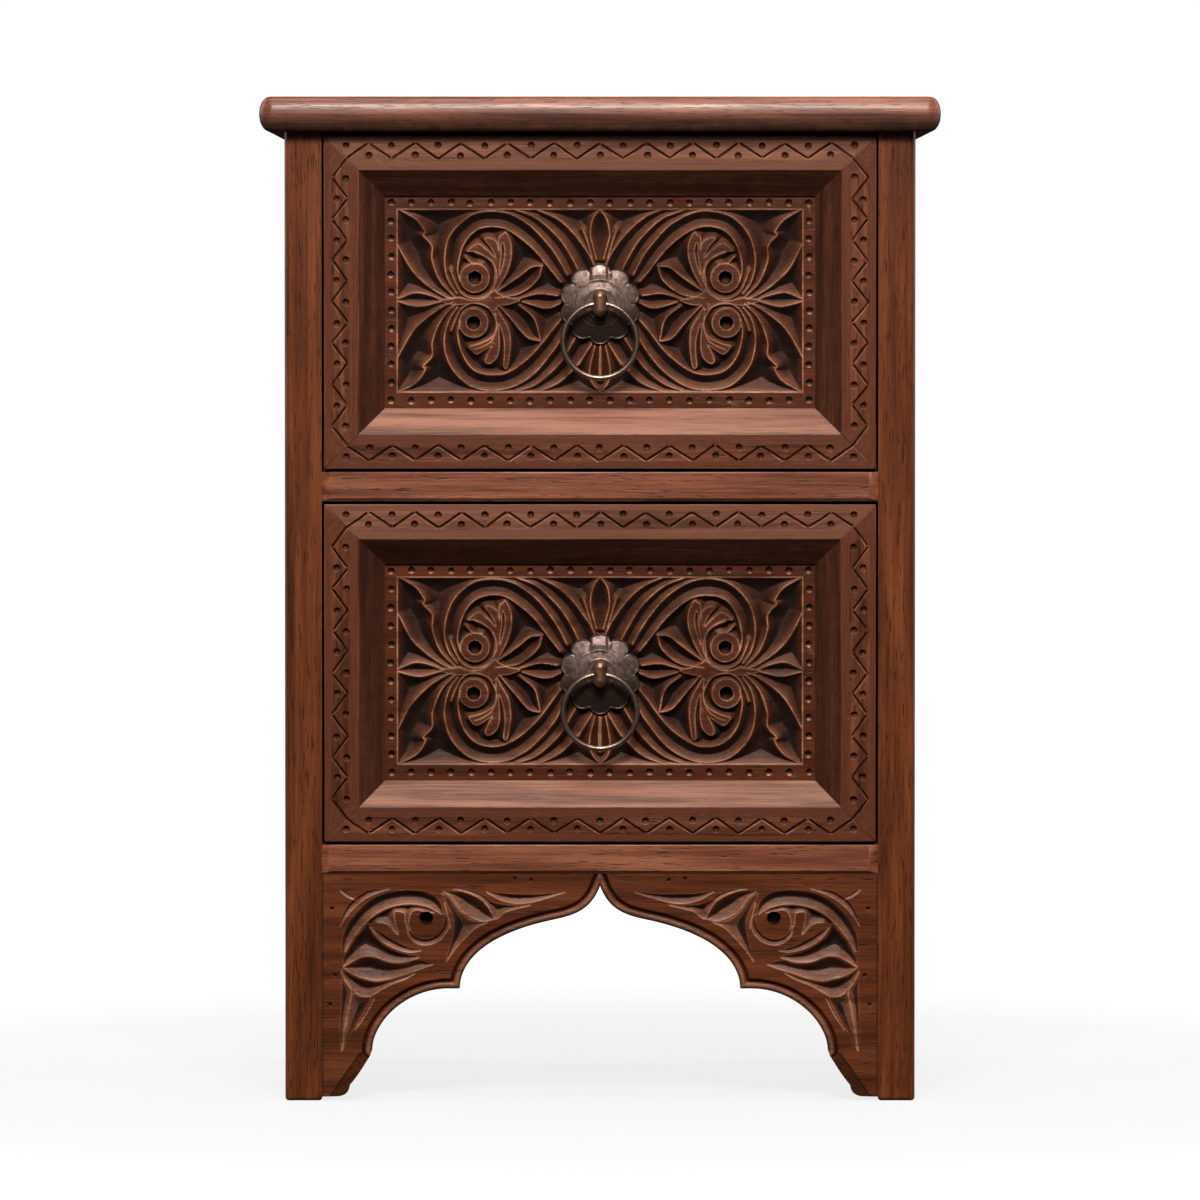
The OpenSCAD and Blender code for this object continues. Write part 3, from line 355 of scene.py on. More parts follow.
for drawer in drawers:
    plainBoards[drawer + "_drawer_back"] = ("inner", "X", "drawer_box_wood", 0.6)
    plainBoards[drawer + "_drawer_bottom"] = ("inner", "X", "drawer_box_wood", 0.0)
nosingTone = {"darkest": 0.85, "from": 0.64, "over": 0.4}  # shares of the board's thickness


def shadeNosing(mesh):
    # painted shade: the under half of the nosing is darker, where light from above does not reach
    low, high = (corner.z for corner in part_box("top_board"))
    tone = mesh.attributes.new("dirtAndShade", "FLOAT", "POINT")
    for v, dark in zip(mesh.vertices, tone.data):
        under = nosingTone["from"] - (v.co.z - low) / (high - low)
        dark.value = nosingTone["darkest"] * clamp(under / nosingTone["over"])


for node, (kind, grain, slotName, eased) in plainBoards.items():
    bm = nodeCopy(node)
    if eased:
        ease(bm, outerEdges(bm), eased)
    mesh = meshOf(bm, node)
    smoothShade(mesh, 25)
    if node == "top_board":
        shadeNosing(mesh)
    keepFlat(placeMesh(node + "_board", mesh, woods[kind, grain], bodyOf(node), [node]))
print("boards made")

smallNodes = {
    "bracket_dowels": woods["inner", "Y"], "runner_screws": metals["screw"],
    "top_screws": metals["screw"], "upper_pull_nut": metals["screw"],
    "lower_pull_nut": metals["screw"]}
for node, material in smallNodes.items():
    frame["nodes"][node].material_slots[0].material = material


# Drawer fronts: four mitred members, each with a knife-cut zigzag and a row of punched dots
frontCuts = {
    "band": 22.5, "strokeWidth": 1.9, "strokeDepth": 1.8, "outer": 5.2, "inner": 15.2,
    "pitchAcross": 15.0, "pitchUp": 13.4, "endGap": 14.2, "lap": 0.9, "keelShorter": 1.2,
    "proud": 0.25, "mouthWider": 0.6, "mouthDepth": 0.4, "dotRadius": 2.25, "dotDepth": 1.9,
    "arris": 0.45}
frontChance = {  # the lowest and the highest value of each random draw
    "corner": (-0.4, 0.4), "meet": (0.42, 0.58), "bend": (-0.25, 0.25), "start": (-0.7, 0.5),
    "end": (-0.6, 0.6), "width": (0.85, 1.15), "dotAlong": (-0.5, 0.5),
    "dotAcross": (-0.35, 0.35), "dotSize": (0.93, 1.07)}
# painted light in the cuts: up-facing mouths are painted pale, down-facing walls painted dark
cutTone = {"lit": 0.85, "litFrom": 0.4, "mouth": 0.5, "darkShare": 0.7, "paintedShadeLessLit": 0.7}
# painted shade and painted highlight on each bevel, then painted light on its flat band
memberPaintedLight = {"top": (0.75, 0, 0.2), "left": (0.68, 0, 0), "right": (0.68, 0, 0),
              "bottom": (0, 0.4, 0)}
dotRows = {  # distance of the two rows of dots from the member's outer edge
    "top": (6.6, 12.9), "bottom": (8.2, 13.8), "left": (8.2, 14.2), "right": (8.2, 14.2)}


def addStroke(bm, start, end, width, depth):
    # a boat-shaped knife cut: its keel is shorter than its mouth
    direction = end - start
    made = bmesh.ops.create_cube(bm, size=1)["verts"]
    for v in made:
        if v.co.z < 0:
            v.co.y = 0
            v.co.x *= 1 - frontCuts["keelShorter"] * width / direction.length
    # it stands proud of the face by half its depth, so that its mouth is as wide as asked
    turn = Matrix.Rotation(math.atan2(direction.y, direction.x), 4, "Z")
    size = Matrix.Diagonal((direction.length, width * 1.5, depth * 1.5, 1))
    middle = (start + end) / 2
    raised = Matrix.Translation((middle.x, middle.y, -0.25 * depth))
    bmesh.ops.transform(bm, matrix=raised @ turn @ size, verts=made)
    bmesh.ops.remove_doubles(bm, verts=made, dist=0.001)


def addDot(bm, place, radius, depth):
    lift = (radius ** 2 - depth ** 2) / (2 * depth)  # a ball that stands proud of the face
    made = bmesh.ops.create_uvsphere(bm, u_segments=16, v_segments=10,
                                     radius=radius + frontCuts["proud"])
    bmesh.ops.transform(bm, matrix=Matrix.Translation((place.x, place.y, lift)),
                        verts=made["verts"])


def cutWith(piece, cutter, place):
    bmesh.ops.transform(cutter, matrix=place, verts=cutter.verts)
    bmesh.ops.recalc_face_normals(cutter, faces=cutter.faces)
    tool = bpy.data.objects.new("cutter", meshOf(cutter, "cutter"))
    bpy.context.scene.collection.objects.link(tool)
    boolean = piece.modifiers.new("cut", "BOOLEAN")
    boolean.operation = "DIFFERENCE"
    boolean.solver = "MANIFOLD"
    boolean.object = tool
    applyModifiers(piece)
    bpy.data.objects.remove(tool)


def zigzag(length, flat, rng):
    # points along the member, from its middle, and across it, from its outer edge
    reach = length / 2 - frontCuts["endGap"]
    count = 2 * round(reach / frontCuts["pitchAcross" if flat else "pitchUp"])
    corners = []
    for i in range(count + 1):
        across = frontCuts["inner"] if i % 2 == 0 else frontCuts["outer"]
        along = -reach + 2 * reach * i / count
        corners.append(Vector((along + rng.uniform(*frontChance["corner"]),
                               across + rng.uniform(*frontChance["corner"]))))
    return corners


def zigzagCuts(corners, rng):
    # each leg is two cuts that meet a little past the middle
    cuts = []
    for first, second in zip(corners, corners[1:]):
        middle = first.lerp(second, rng.uniform(*frontChance["meet"]))
        middle += Vector((rng.uniform(*frontChance["bend"]),) * 2)
        run = (second - first).normalized()
        start = first - run * rng.uniform(*frontChance["start"])
        end = second + run * rng.uniform(*frontChance["end"])
        lap = run * frontCuts["lap"]
        cuts += [(start, middle + lap), (middle - lap, end)]
    return cuts


def memberMatrix(sideName, low, high):
    # from the member's own along, across and outwards to the drawer's place, in millimetres
    midX, midZ = (low.x + high.x) / 2, (low.z + high.z) / 2
    columns = {
        "top": ((1, 0, 0), (0, 0, -1), (midX, yFront, high.z)),
        "bottom": ((1, 0, 0), (0, 0, 1), (midX, yFront, low.z)),
        "left": ((0, 0, 1), (1, 0, 0), (low.x, yFront, midZ)),
        "right": ((0, 0, 1), (-1, 0, 0), (high.x, yFront, midZ))}
    along, across, origin = (Vector(c) for c in columns[sideName])
    out = Vector((0, -1, 0))
    return Matrix((
        (along.x, across.x, out.x, origin.x), (along.y, across.y, out.y, origin.y),
        (along.z, across.z, out.z, origin.z), (0, 0, 0, 1)))


def toneMember(mesh, toMember, tones):
    # painted shade in the cuts and on the bevels, painted highlight at the up-facing cut mouths
    dirtAndShade = mesh.attributes.new("dirtAndShade", "FLOAT", "POINT")
    wearAndHighlight = mesh.attributes.new("wearAndHighlight", "FLOAT", "POINT")
    for v, dark, pale in zip(mesh.vertices, dirtAndShade.data, wearAndHighlight.data):
        _, across, out = toMember @ v.co
        if across > frontCuts["band"] + 0.2:
            dark.value, pale.value = tones[:2]
        elif across < frontCuts["band"] - 1 and -4 < out < -0.1:
            lit = clamp(v.normal.z + cutTone["litFrom"])
            if -out < cutTone["mouth"]:
                pale.value = cutTone["lit"] * lit
            darkShare = min(1, -out / frontCuts["strokeDepth"] + cutTone["darkShare"])
            dark.value = darkShare * (1 - cutTone["paintedShadeLessLit"] * lit)
        elif out > -0.1:
            pale.value = tones[2]


def frontMember(drawer, sideName):
    node = f"{drawer}_front_{sideName}"
    rng = random.Random(node)
    low, high = boxOf(node)
    bm = nodeCopy(node)
    frontArrises = [e for e in bm.edges
                    if all(abs(v.co.y - yFront * mm) < 0.01 * mm for v in e.verts)]
    ease(bm, frontArrises, frontCuts["arris"])
    flat = sideName in ("top", "bottom")
    piece = placeMesh(node + "_member", meshOf(bm, node), woods["front", "X" if flat else "Z"],
                      bodyOf(node), [node])
    corners = zigzag((high.x - low.x) if flat else (high.z - low.z), flat, rng)
    cuts = zigzagCuts(corners, rng)
    place = Matrix.Scale(mm, 4) @ memberMatrix(sideName, low, high)
    for wider, depth in ((frontCuts["mouthWider"], frontCuts["mouthDepth"]),
                         (0, frontCuts["strokeDepth"])):
        for odd in (0, 1):
            cutter = bmesh.new()
            for start, end in cuts[odd::2]:
                width = frontCuts["strokeWidth"] * rng.uniform(*frontChance["width"]) + wider
                addStroke(cutter, start, end, width, depth)
            cutWith(piece, cutter, place)
    outerRow, innerRow = dotRows[sideName]
    cutter = bmesh.new()
    for i, corner in enumerate(corners):
        if 0 < i < len(corners) - 1 or flat:
            across = outerRow if i % 2 == 0 else innerRow
            spot = Vector((corner.x + rng.uniform(*frontChance["dotAlong"]),
                           across + rng.uniform(*frontChance["dotAcross"])))
            radius = frontCuts["dotRadius"] * rng.uniform(*frontChance["dotSize"])
            addDot(cutter, spot, radius, frontCuts["dotDepth"])
    cutWith(piece, cutter, place)
    toneMember(piece.data, place.inverted(), memberPaintedLight[sideName])
    smoothShade(piece.data, 22)
    keepFlat(piece)


for drawer in drawers:
    for sideName in ("top", "bottom", "left", "right"):
        frontMember(drawer, sideName)
print("drawer fronts made")


# Relief carving: a fine grid is pushed in by its distance from the lines that stay high
relief = {"spacing": 0.46, "spacingQuick": 0.9, "snap": 0.52, "kept": 0.85, "warp": 17}
spacing = relief["spacing"]


def smoothLine(points, step=0.25):
    p = np.array(points, float)
    ends = np.vstack([2 * p[0] - p[1], p, 2 * p[-1] - p[-2]])
    runs = []
    for a, b, c, d in zip(ends, ends[1:], ends[2:], ends[3:]):
        count = max(2, int(np.linalg.norm(c - b) / step))
        t = np.linspace(0, 1, count, endpoint=False)[:, None]
        runs.append(0.5 * (2 * b + (c - a) * t + (2 * a - 5 * b + 4 * c - d) * t ** 2
                           + (3 * b - a - 3 * c + d) * t ** 3))
    runs.append(p[-1:])
    return np.vstack(runs)


def closedLine(points, step=0.25):
    p = [tuple(q) for q in points]
    whole = smoothLine(p[-2:] + p + p[:3], step)
    start = np.argmin(np.linalg.norm(whole - p[0], axis=1))
    end = len(whole) - 1 - np.argmin(np.linalg.norm(whole[::-1] - p[0], axis=1))
    return whole[start:end]


def isInside(spots, outline):
    within = np.zeros(len(spots), bool)
    low, high = outline.min(0), outline.max(0)
    near = np.nonzero(((spots >= low) & (spots <= high)).all(1))[0]
    x, y = spots[near, 0], spots[near, 1]
    hit = np.zeros(len(near), bool)
    for (x1, y1), (x2, y2) in zip(outline, np.roll(outline, -1, axis=0)):
        if y1 != y2:
            crossing = ((y1 > y) != (y2 > y)) & (x < (x2 - x1) * (y - y1) / (y2 - y1) + x1)
            hit ^= crossing
    within[near] = hit
    return within


def nearestOn(lines, spots):
    samples = np.vstack(lines)
    tree = kdtree.KDTree(len(samples))
    for i, (x, y) in enumerate(samples):
        tree.insert((x, y, 0), i)
    tree.balance()
    found = [tree.find((x, y, 0)) for x, y in spots]
    distance = np.array([f[2] for f in found])
    return distance, samples[[f[1] for f in found]]


def handWarp(line, amount, seed):
    # no two carved lines are quite alike
    places = np.array(line) / relief["warp"]
    shift = [noise.noise_vector(Vector((x, y, seed)))[:2] for x, y in places]
    return line + amount * np.array(shift)


def surfaceNoise(spots, size, seed):
    return np.array([noise.noise(Vector((x / size, y / size, seed))) for x, y in spots])


def gridMesh(halfWide, halfHigh):
    bm = bmesh.new()
    bmesh.ops.create_grid(bm, x_segments=round(2 * halfWide / spacing),
                          y_segments=round(2 * halfHigh / spacing), size=1)
    bmesh.ops.scale(bm, vec=(halfWide, halfHigh, 1), verts=bm.verts)
    return bm


def closeBlock(bm, back):
    # the rim of the face is pulled back and the block is closed behind
    rim = [e for e in bm.edges if e.is_boundary]
    pulled = bmesh.ops.extrude_edge_only(bm, edges=rim)["geom"]
    for v in pulled:
        if isinstance(v, bmesh.types.BMVert):
            v.co.z = back
    last = [e for e in bm.edges if e.is_boundary]
    bmesh.ops.edgeloop_fill(bm, edges=last)


def eyeHollow(spots, middle, look):
    away = np.linalg.norm(spots - middle, axis=1)
    return look["eyeDepth"] * share((look["eyeRadius"] - away) / look["eyeSlope"])


def arris(distance, depth, pale, wide, deepest):
    # wood painted pale along a line where it stays high: wear, and a painted highlight on the arris
    return pale * share(1 - distance / wide) * (depth < deepest)


def snapTo(lines, free, eye, spots, depth, shift=0):
    # the corner of the grid nearest to a line goes onto it, so that arrises run clean
    for distance, target in lines:
        close = (distance < relief["snap"] * spacing) & free
        spots[close] = target[close] + shift
        depth[close & (eye == 0)] = 0


carving = {
    "faces": 185000, "wall": 0.95, "deepWall": 1.52, "lobeWall": 1.5, "deepest": 6.6, "ridge": 0.34,
    "gouge": 0.22, "gougeSize": 3.1, "wave": 0.05, "waveSize": 14, "wander": 0.45,
    "fieldHigh": 60.0, "borderSide": 8.0, "borderTop": 8.5, "borderBottom": 10.5,
    "eyeRadius": 4.5, "eyeDepth": 7.5, "eyeSlope": 1.1, "ringRadius": 9.4, "dotsAcross": 22,
    "dotsUp": 11, "dotRadius": 2.2, "dotDepth": 1.9, "dotSize": (0.92, 1.08),
    "dotAcross": (-0.4, 0.4), "dotUp": (-0.35, 0.35)}
carvedTone = {  # depths and widths in millimetres, shares of painted shade and dirt, of painted light and wear
    "darkeningDepth": 3.6, "darkeningCurve": 1.1, "paintedShadeLessLit": 0.55, "paintedShadeOnShaded": 0.95, "shadedDepth": 1.1,
    "arris": (0.55, 0.8), "edgePale": 0.75, "edgePaleMore": 0.5, "edgePaleSize": 9,
    "paintedLitWall": 0.2, "litDepth": 6}

# Ridges of one quarter, out from the middle of the field and up from it
scrollInner = [(90.6, 12.4), (92.3, 22), (88.6, 36.4), (80.4, 46), (68, 48.7), (56.6, 45),
               (43, 34.1), (31.6, 19.6), (25.7, 12.3)]
voluteEdge = [(96.6, 19.5), (94, 12.5), (89.5, 4.9), (81.3, 1.3), (71.8, 5.1), (66.9, 15.5),
              (70, 25.5), (76, 30), (81.3, 32)]
mirroredRidges = [
    [(92.7, 4.6), (98.1, 12.8), (100.8, 25.5), (98.6, 39.1), (92.7, 48.6), (82.7, 56.3),
     (69.1, 58.9), (56.6, 56.3), (43, 47.7), (30.3, 32.7), (21.2, 16.9)],
    scrollInner, voluteEdge,
    [(54.3, 59.5), (40.7, 54.1), (27.1, 41.8), (18, 27.8), (14, 20)],
    [(40.7, 60), (27.1, 53.6), (15.7, 42.7), (7.1, 30.5), (3.6, 23)],
    [(130.5, 60), (119, 53.2), (113.4, 45.2), (114.6, 42.8), (108.8, 36), (108.6, 26.4),
     (103.1, 12.3), (93.6, 1.9)],
    [(131, 37), (122.2, 20.9), (113.1, 11.4), (101.8, 3.7), (95.5, 1.2)]]
upperRidges = [
    [(131, 1.2), (119.9, 5.3), (108.6, 3.2), (102.5, 0.4)],
    [(53.5, 0.8), (39.8, 4.6), (27.5, 3.3)],
    [(37.5, 22.8), (45.2, 21.8), (52.9, 15.9), (67, 6)],
    [(37.5, 22.8), (40.7, 13.7), (52, 4.6), (67.5, 1.9)],
    [(86.8, 28.7), (82.5, 24.6), (76.3, 23.9)],
    [(0, 60), (4.6, 53.6), (6.3, 44), (4.8, 36.4), (2.2, 27)],
    [(10.6, 46), (8, 38), (5, 28)]]
lowerRidges = [
    [(131, -0.6), (117.6, -3.6), (103.6, -0.6)],
    [(50, -1.2), (35, -4.8), (25.7, -1.5)],
    [(65.5, -2.6), (55.2, -14.7), (46.6, -24.2), (39, -26.6)],
    [(52, -3.6), (42.5, -11.9), (38.6, -26.2)],
    [(0, -60), (5.1, -53.7), (6.7, -45.5), (3.4, -29)],
    [(13.9, -41.9), (5.2, -28)], [(0.6, -52), (0.4, -30)]]
upperLobes = [
    [(61.1, 44.6), (57.9, 38.5), (57.3, 31), (58.6, 24), (61.5, 16.5), (66.5, 8), (69, 9),
     (68.1, 18), (69.3, 24.5), (75.9, 30.2), (81.3, 32.4), (85.9, 32.7), (79.1, 37.3),
     (73, 33.4), (69.2, 29.5), (67.6, 29), (70.8, 35.5), (74.6, 40.6), (71, 41.2), (66.6, 38.4),
     (65.3, 33), (65.4, 41.2), (63, 43.6)]]
upperSlits = [[(62.7, 38), (61.5, 33), (62.6, 25), (65.2, 17), (65, 22), (63.8, 29), (63.9, 36)]]
lowerLobes = [
    [(67.4, -5), (63.4, -10.6), (59.5, -17.8), (58.1, -25.1), (58.2, -33), (60.2, -44),
     (62.6, -43.2), (61.9, -35), (62, -27.8), (63.2, -21.5), (65.6, -15), (65.4, -24),
     (65.3, -32), (67.2, -38), (71.6, -41.4), (74.4, -39.6), (72.2, -33.5), (70, -29.5),
     (74.5, -32.2), (80, -35.2), (83.8, -32.2), (84.6, -30), (78.2, -28), (70.5, -23.8),
     (67.4, -17)]]
eyes = [(81.2, 14.9), (82.0, -14.6)]
knot = [(104, 0.0), (98, 1.1), (91.5, 1.9), (85, 0.3), (78.5, 0.6), (72.5, 3.4), (68.5, 6.8),
        (66, 5), (60, 2.2), (52, 0.2), (58, -2.2), (65, -3.4), (69.4, -6.6), (73, -4.2),
        (79, -2.2), (85.5, -2), (92, -3), (98, -2.1)]


def quarterLines(lines, side, flip, stretch, seed, closed=False):
    made = []
    for points in lines:
        line = (closedLine if closed else smoothLine)(points)
        line = line * (side, flip * stretch)
        made.append(handWarp(line, carving["wander"], seed))
    return made


def frameOpening(drawer):
    # half the width and height of the drawer front's opening, and the height of its middle
    left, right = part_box(f"{drawer}_front_left")[1].x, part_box(f"{drawer}_front_right")[0].x
    bottom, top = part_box(f"{drawer}_front_bottom")[1].z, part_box(f"{drawer}_front_top")[0].z
    return (right - left) / mm / 2, (top - bottom) / mm / 2, (top + bottom) / mm / 2


def fieldLines(stretch, seed):
    lines = {name: [] for name in ("ridges", "lobes", "slits", "wells", "rings", "holes")}
    turn = np.linspace(0, 2 * math.pi, 240, endpoint=False)
    circle = np.column_stack((np.cos(turn), np.sin(turn)))
    eyeSpots = []
    for side in (-1, 1):
        own = seed + side * 2.3
        for flip in (1, -1):
            lines["ridges"] += quarterLines(mirroredRidges, side, flip, stretch, own + flip)
            well = scrollInner + [(25, 0), (66, 0)] + voluteEdge[:0:-1]
            lines["wells"].append(smoothLine(well) * (side, flip * stretch))
        lines["ridges"] += quarterLines(upperRidges + lowerRidges, side, 1, stretch, own)
        lobes = upperLobes + lowerLobes + [knot]
        lines["lobes"] += quarterLines(lobes, side, 1, stretch, own, True)
        lines["slits"] += quarterLines(upperSlits, side, 1, stretch, own, True)
        eyeSpots += [np.array((side * u, v * stretch)) for u, v in eyes]
    lines["rings"] = [spot + circle * carving["ringRadius"] for spot in eyeSpots]
    lines["holes"] = [spot + circle * carving["eyeRadius"] for spot in eyeSpots]
    return lines, eyeSpots


def rectangle(low, high):
    corners = [low, (high[0], low[1]), high, (low[0], high[1])]
    return np.vstack([np.linspace(a, b, 1200, endpoint=False)
                      for a, b in zip(corners, corners[1:] + corners[:1])])


def inAny(spots, outlines):
    return np.any([isInside(spots, outline) for outline in outlines], axis=0)


def punchedDots(spots, side, bottomRow, topRow, rng):
    # a row of hollows round the border: painted shade in the upper half of each, painted light
    # below
    places = []
    for i in range(carving["dotsAcross"]):
        across = -side + 2 * side * i / (carving["dotsAcross"] - 1)
        places += [(across, topRow), (across, bottomRow)]
    for i in range(1, carving["dotsUp"]):
        up = bottomRow + (topRow - bottomRow) * i / carving["dotsUp"]
        places += [(-side, up), (side, up)]
    depth, dark, pale = (np.zeros(len(spots)) for value in range(3))
    for x, y in places:
        place = np.array((x + rng.uniform(*carving["dotAcross"]),
                          y + rng.uniform(*carving["dotUp"])))
        radius = carving["dotRadius"] * rng.uniform(*carving["dotSize"])
        away = np.linalg.norm(spots - place, axis=1) / radius
        bowl = carving["dotDepth"] * np.sqrt(share(1 - away ** 2))
        depth = np.maximum(depth, bowl)
        height = (spots[:, 1] - place[1]) / radius
        dark = np.maximum(dark, (away < 1) * share(0.75 + height))
        pale = np.maximum(pale, (away < 1) * np.clip(-1.2 * height - 0.3, 0, 0.8))
    return depth, dark, pale


def panelTones(spots, field, depth, edge, nearest, dots, seed):
    # painted light: a wall above an arris faces the light and is painted pale, one below it painted
    # dark
    dotDepth, dotDark, dotPale = dots
    tone = carvedTone
    facing = (field - nearest)[:, 1] / np.maximum(edge, 0.05) * (depth > 0.15)
    lit, shaded = share(facing), share(-facing)
    # darker with depth: dirt, and painted shade in the hollows
    dirtAndShade = share(depth / tone["darkeningDepth"]) ** tone["darkeningCurve"]
    dirtAndShade *= 1 - tone["paintedShadeLessLit"] * lit
    dirtAndShade += tone["paintedShadeOnShaded"] * shaded * share(depth / tone["shadedDepth"])
    dirtAndShade = np.maximum(share(dirtAndShade) * (dotDepth == 0), dotDark)
    edgePale = tone["edgePale"] + tone["edgePaleMore"] * surfaceNoise(spots, tone["edgePaleSize"], seed + 9)
    wearAndHighlight = arris(edge, depth, edgePale, *tone["arris"])
    walls = tone["paintedLitWall"] * lit * share(1 - depth / tone["litDepth"])
    wearAndHighlight = np.maximum(wearAndHighlight, walls * (dotDepth == 0))
    return dirtAndShade, np.maximum(wearAndHighlight, dotPale)


def carvedPanel(drawer, seed):
    node = drawer + "_carved_panel"
    low, high = boxOf(node)
    wide, tall, middle = frameOpening(drawer)
    bm = gridMesh(wide, tall)
    spots = np.array([v.co[:2] for v in bm.verts])
    fieldLow = np.array((-wide + carving["borderSide"], -tall + carving["borderBottom"]))
    fieldHigh = np.array((wide - carving["borderSide"], tall - carving["borderTop"]))
    centre = np.array((0, (fieldLow[1] + fieldHigh[1]) / 2))
    field = spots - centre
    border = rectangle(fieldLow - centre, fieldHigh - centre)
    stretch = (fieldHigh[1] - fieldLow[1]) / 2 / carving["fieldHigh"]
    lines, eyeSpots = fieldLines(stretch, seed)

    toRidge, onRidge = nearestOn(lines["ridges"] + [border], field)
    others = lines["lobes"] + lines["slits"] + lines["rings"] + lines["holes"]
    toLobe, onLobe = nearestOn(others, field)
    wall = np.where(inAny(field, lines["wells"]), carving["deepWall"], carving["wall"])
    depth = np.minimum(wall * np.maximum(toRidge - carving["ridge"], 0),
                       carving["lobeWall"] * toLobe)
    proud = ~isInside(field, border) | inAny(field, lines["lobes"] + lines["rings"])
    depth[proud & ~inAny(field, lines["slits"])] = 0
    depth = carving["deepest"] * np.tanh(depth / carving["deepest"])
    marks = surfaceNoise(spots, carving["gougeSize"], seed)
    depth += np.minimum(depth, 1) * carving["gouge"] * marks
    eye = np.max([eyeHollow(field, spot, carving) for spot in eyeSpots], axis=0)
    depth = np.maximum(depth, eye)
    depth += carving["wave"] * surfaceNoise(spots, carving["waveSize"], seed + 5)
    free = isInside(field, border * 1.002)
    snapTo(((toRidge, onRidge), (toLobe, onLobe)), free, eye, spots, depth, centre)

    dots = punchedDots(spots, (wide + fieldHigh[0]) / 2, (fieldLow[1] - tall) / 2,
                       (tall + fieldHigh[1]) / 2, random.Random(node))
    depth = np.maximum(depth, dots[0])
    edge = np.minimum(toRidge, toLobe)
    nearest = np.where((toRidge < toLobe)[:, None], onRidge, onLobe)
    dirtAndShade, wearAndHighlight = panelTones(spots, field, depth, edge, nearest, dots, seed)
    shapeFace(bm, spots, depth, dirtAndShade, wearAndHighlight, edge)
    rim = [e for e in bm.edges if e.is_boundary]
    lap = [v for v in bmesh.ops.extrude_edge_only(bm, edges=rim)["geom"]
           if isinstance(v, bmesh.types.BMVert)]
    outer = ((high.x - low.x) / 2 / wide, (high.z - low.z) / 2 / tall, 1)
    bmesh.ops.scale(bm, vec=outer, verts=lap)
    closeBlock(bm, low.y - high.y)
    finishRelief(bm, node, (0, low.y, middle), carving["faces"], "carved")


def shapeFace(bm, spots, depth, dirtAndShade, wearAndHighlight, edge):
    tones = [(bm.verts.layers.float.new(name), values.tolist())
             for name, values in (("dirtAndShade", dirtAndShade), ("wearAndHighlight", wearAndHighlight))]
    # points beside an arris stay when the rest is thinned out, so that its tone stays narrow
    thinning = bm.verts.layers.deform.new("thinning")
    for i, (v, co) in enumerate(zip(bm.verts, np.column_stack((spots, -depth)).tolist())):
        v.co = co
        v[thinning][0] = 0.0 if edge[i] < relief["kept"] else 1.0
        for layer, values in tones:
            v[layer] = values[i]


def finishRelief(bm, node, origin, faces, kind):
    standUp(bm, origin)
    mesh = meshOf(bm, node)
    triangles = sum(len(p.vertices) - 2 for p in mesh.polygons)
    piece = placeMesh(node + "_relief", mesh, woods[kind, "X"], bodyOf(node), [node])
    group = piece.vertex_groups.new(name="thinning")
    thin = piece.modifiers.new("thin out flat places", "DECIMATE")
    thin.vertex_group = group.name
    thin.vertex_group_factor = 2.0
    thin.ratio = min(1.0, faces / triangles)
    applyModifiers(piece)
    piece.vertex_groups.clear()
    smoothShade(piece.data, 32)


for number, drawer in enumerate(drawers):
    carvedPanel(drawer, 11.0 + 7.3 * number)
print("carved panels made")


# Apron brackets: V chips cut with one steep and one lit side, and a bead along the arch.
# Points are out from the post and down from the rail.
apron = {
    "faces": 95000, "thickness": 16.0,
    "litSlope": 0.66, "deepest": 5.0, "wander": 0.25, "gouge": 0.2, "gougeSize": 3.0,
    "wave": 0.06, "waveSize": 13, "eye": (67.4, 28.8), "eyeRadius": 4.5, "eyeDepth": 8.0,
    "eyeSlope": 1.4, "nailRadius": 0.9, "nailDepth": 1.6, "bead": 4.6, "beadDrop": 0.9,
    "beadRound": 2.2, "groove": 2.2, "grooveDrop": 3.0, "grooveSteep": 1.25, "chamfer": 0.36,
    "chamferDrop": 0.4}
apronTone = {  # depths and widths in millimetres, shares of painted shade and dirt, of painted light and wear
    "chipFrom": 0.3, "darkeningDepth": 2.4, "darkeningOnLit": 0.4, "eyeDarkeningDepth": 3, "toe": 0.4, "toeEdge": 0.7,
    "atPost": 0.9, "postWide": 0.9, "litArris": (0.85, 0.55, 0.8),
    "shadedArris": (0.3, 0.4, 0.5), "beadHighlight": 0.3, "litSide": 0.22}
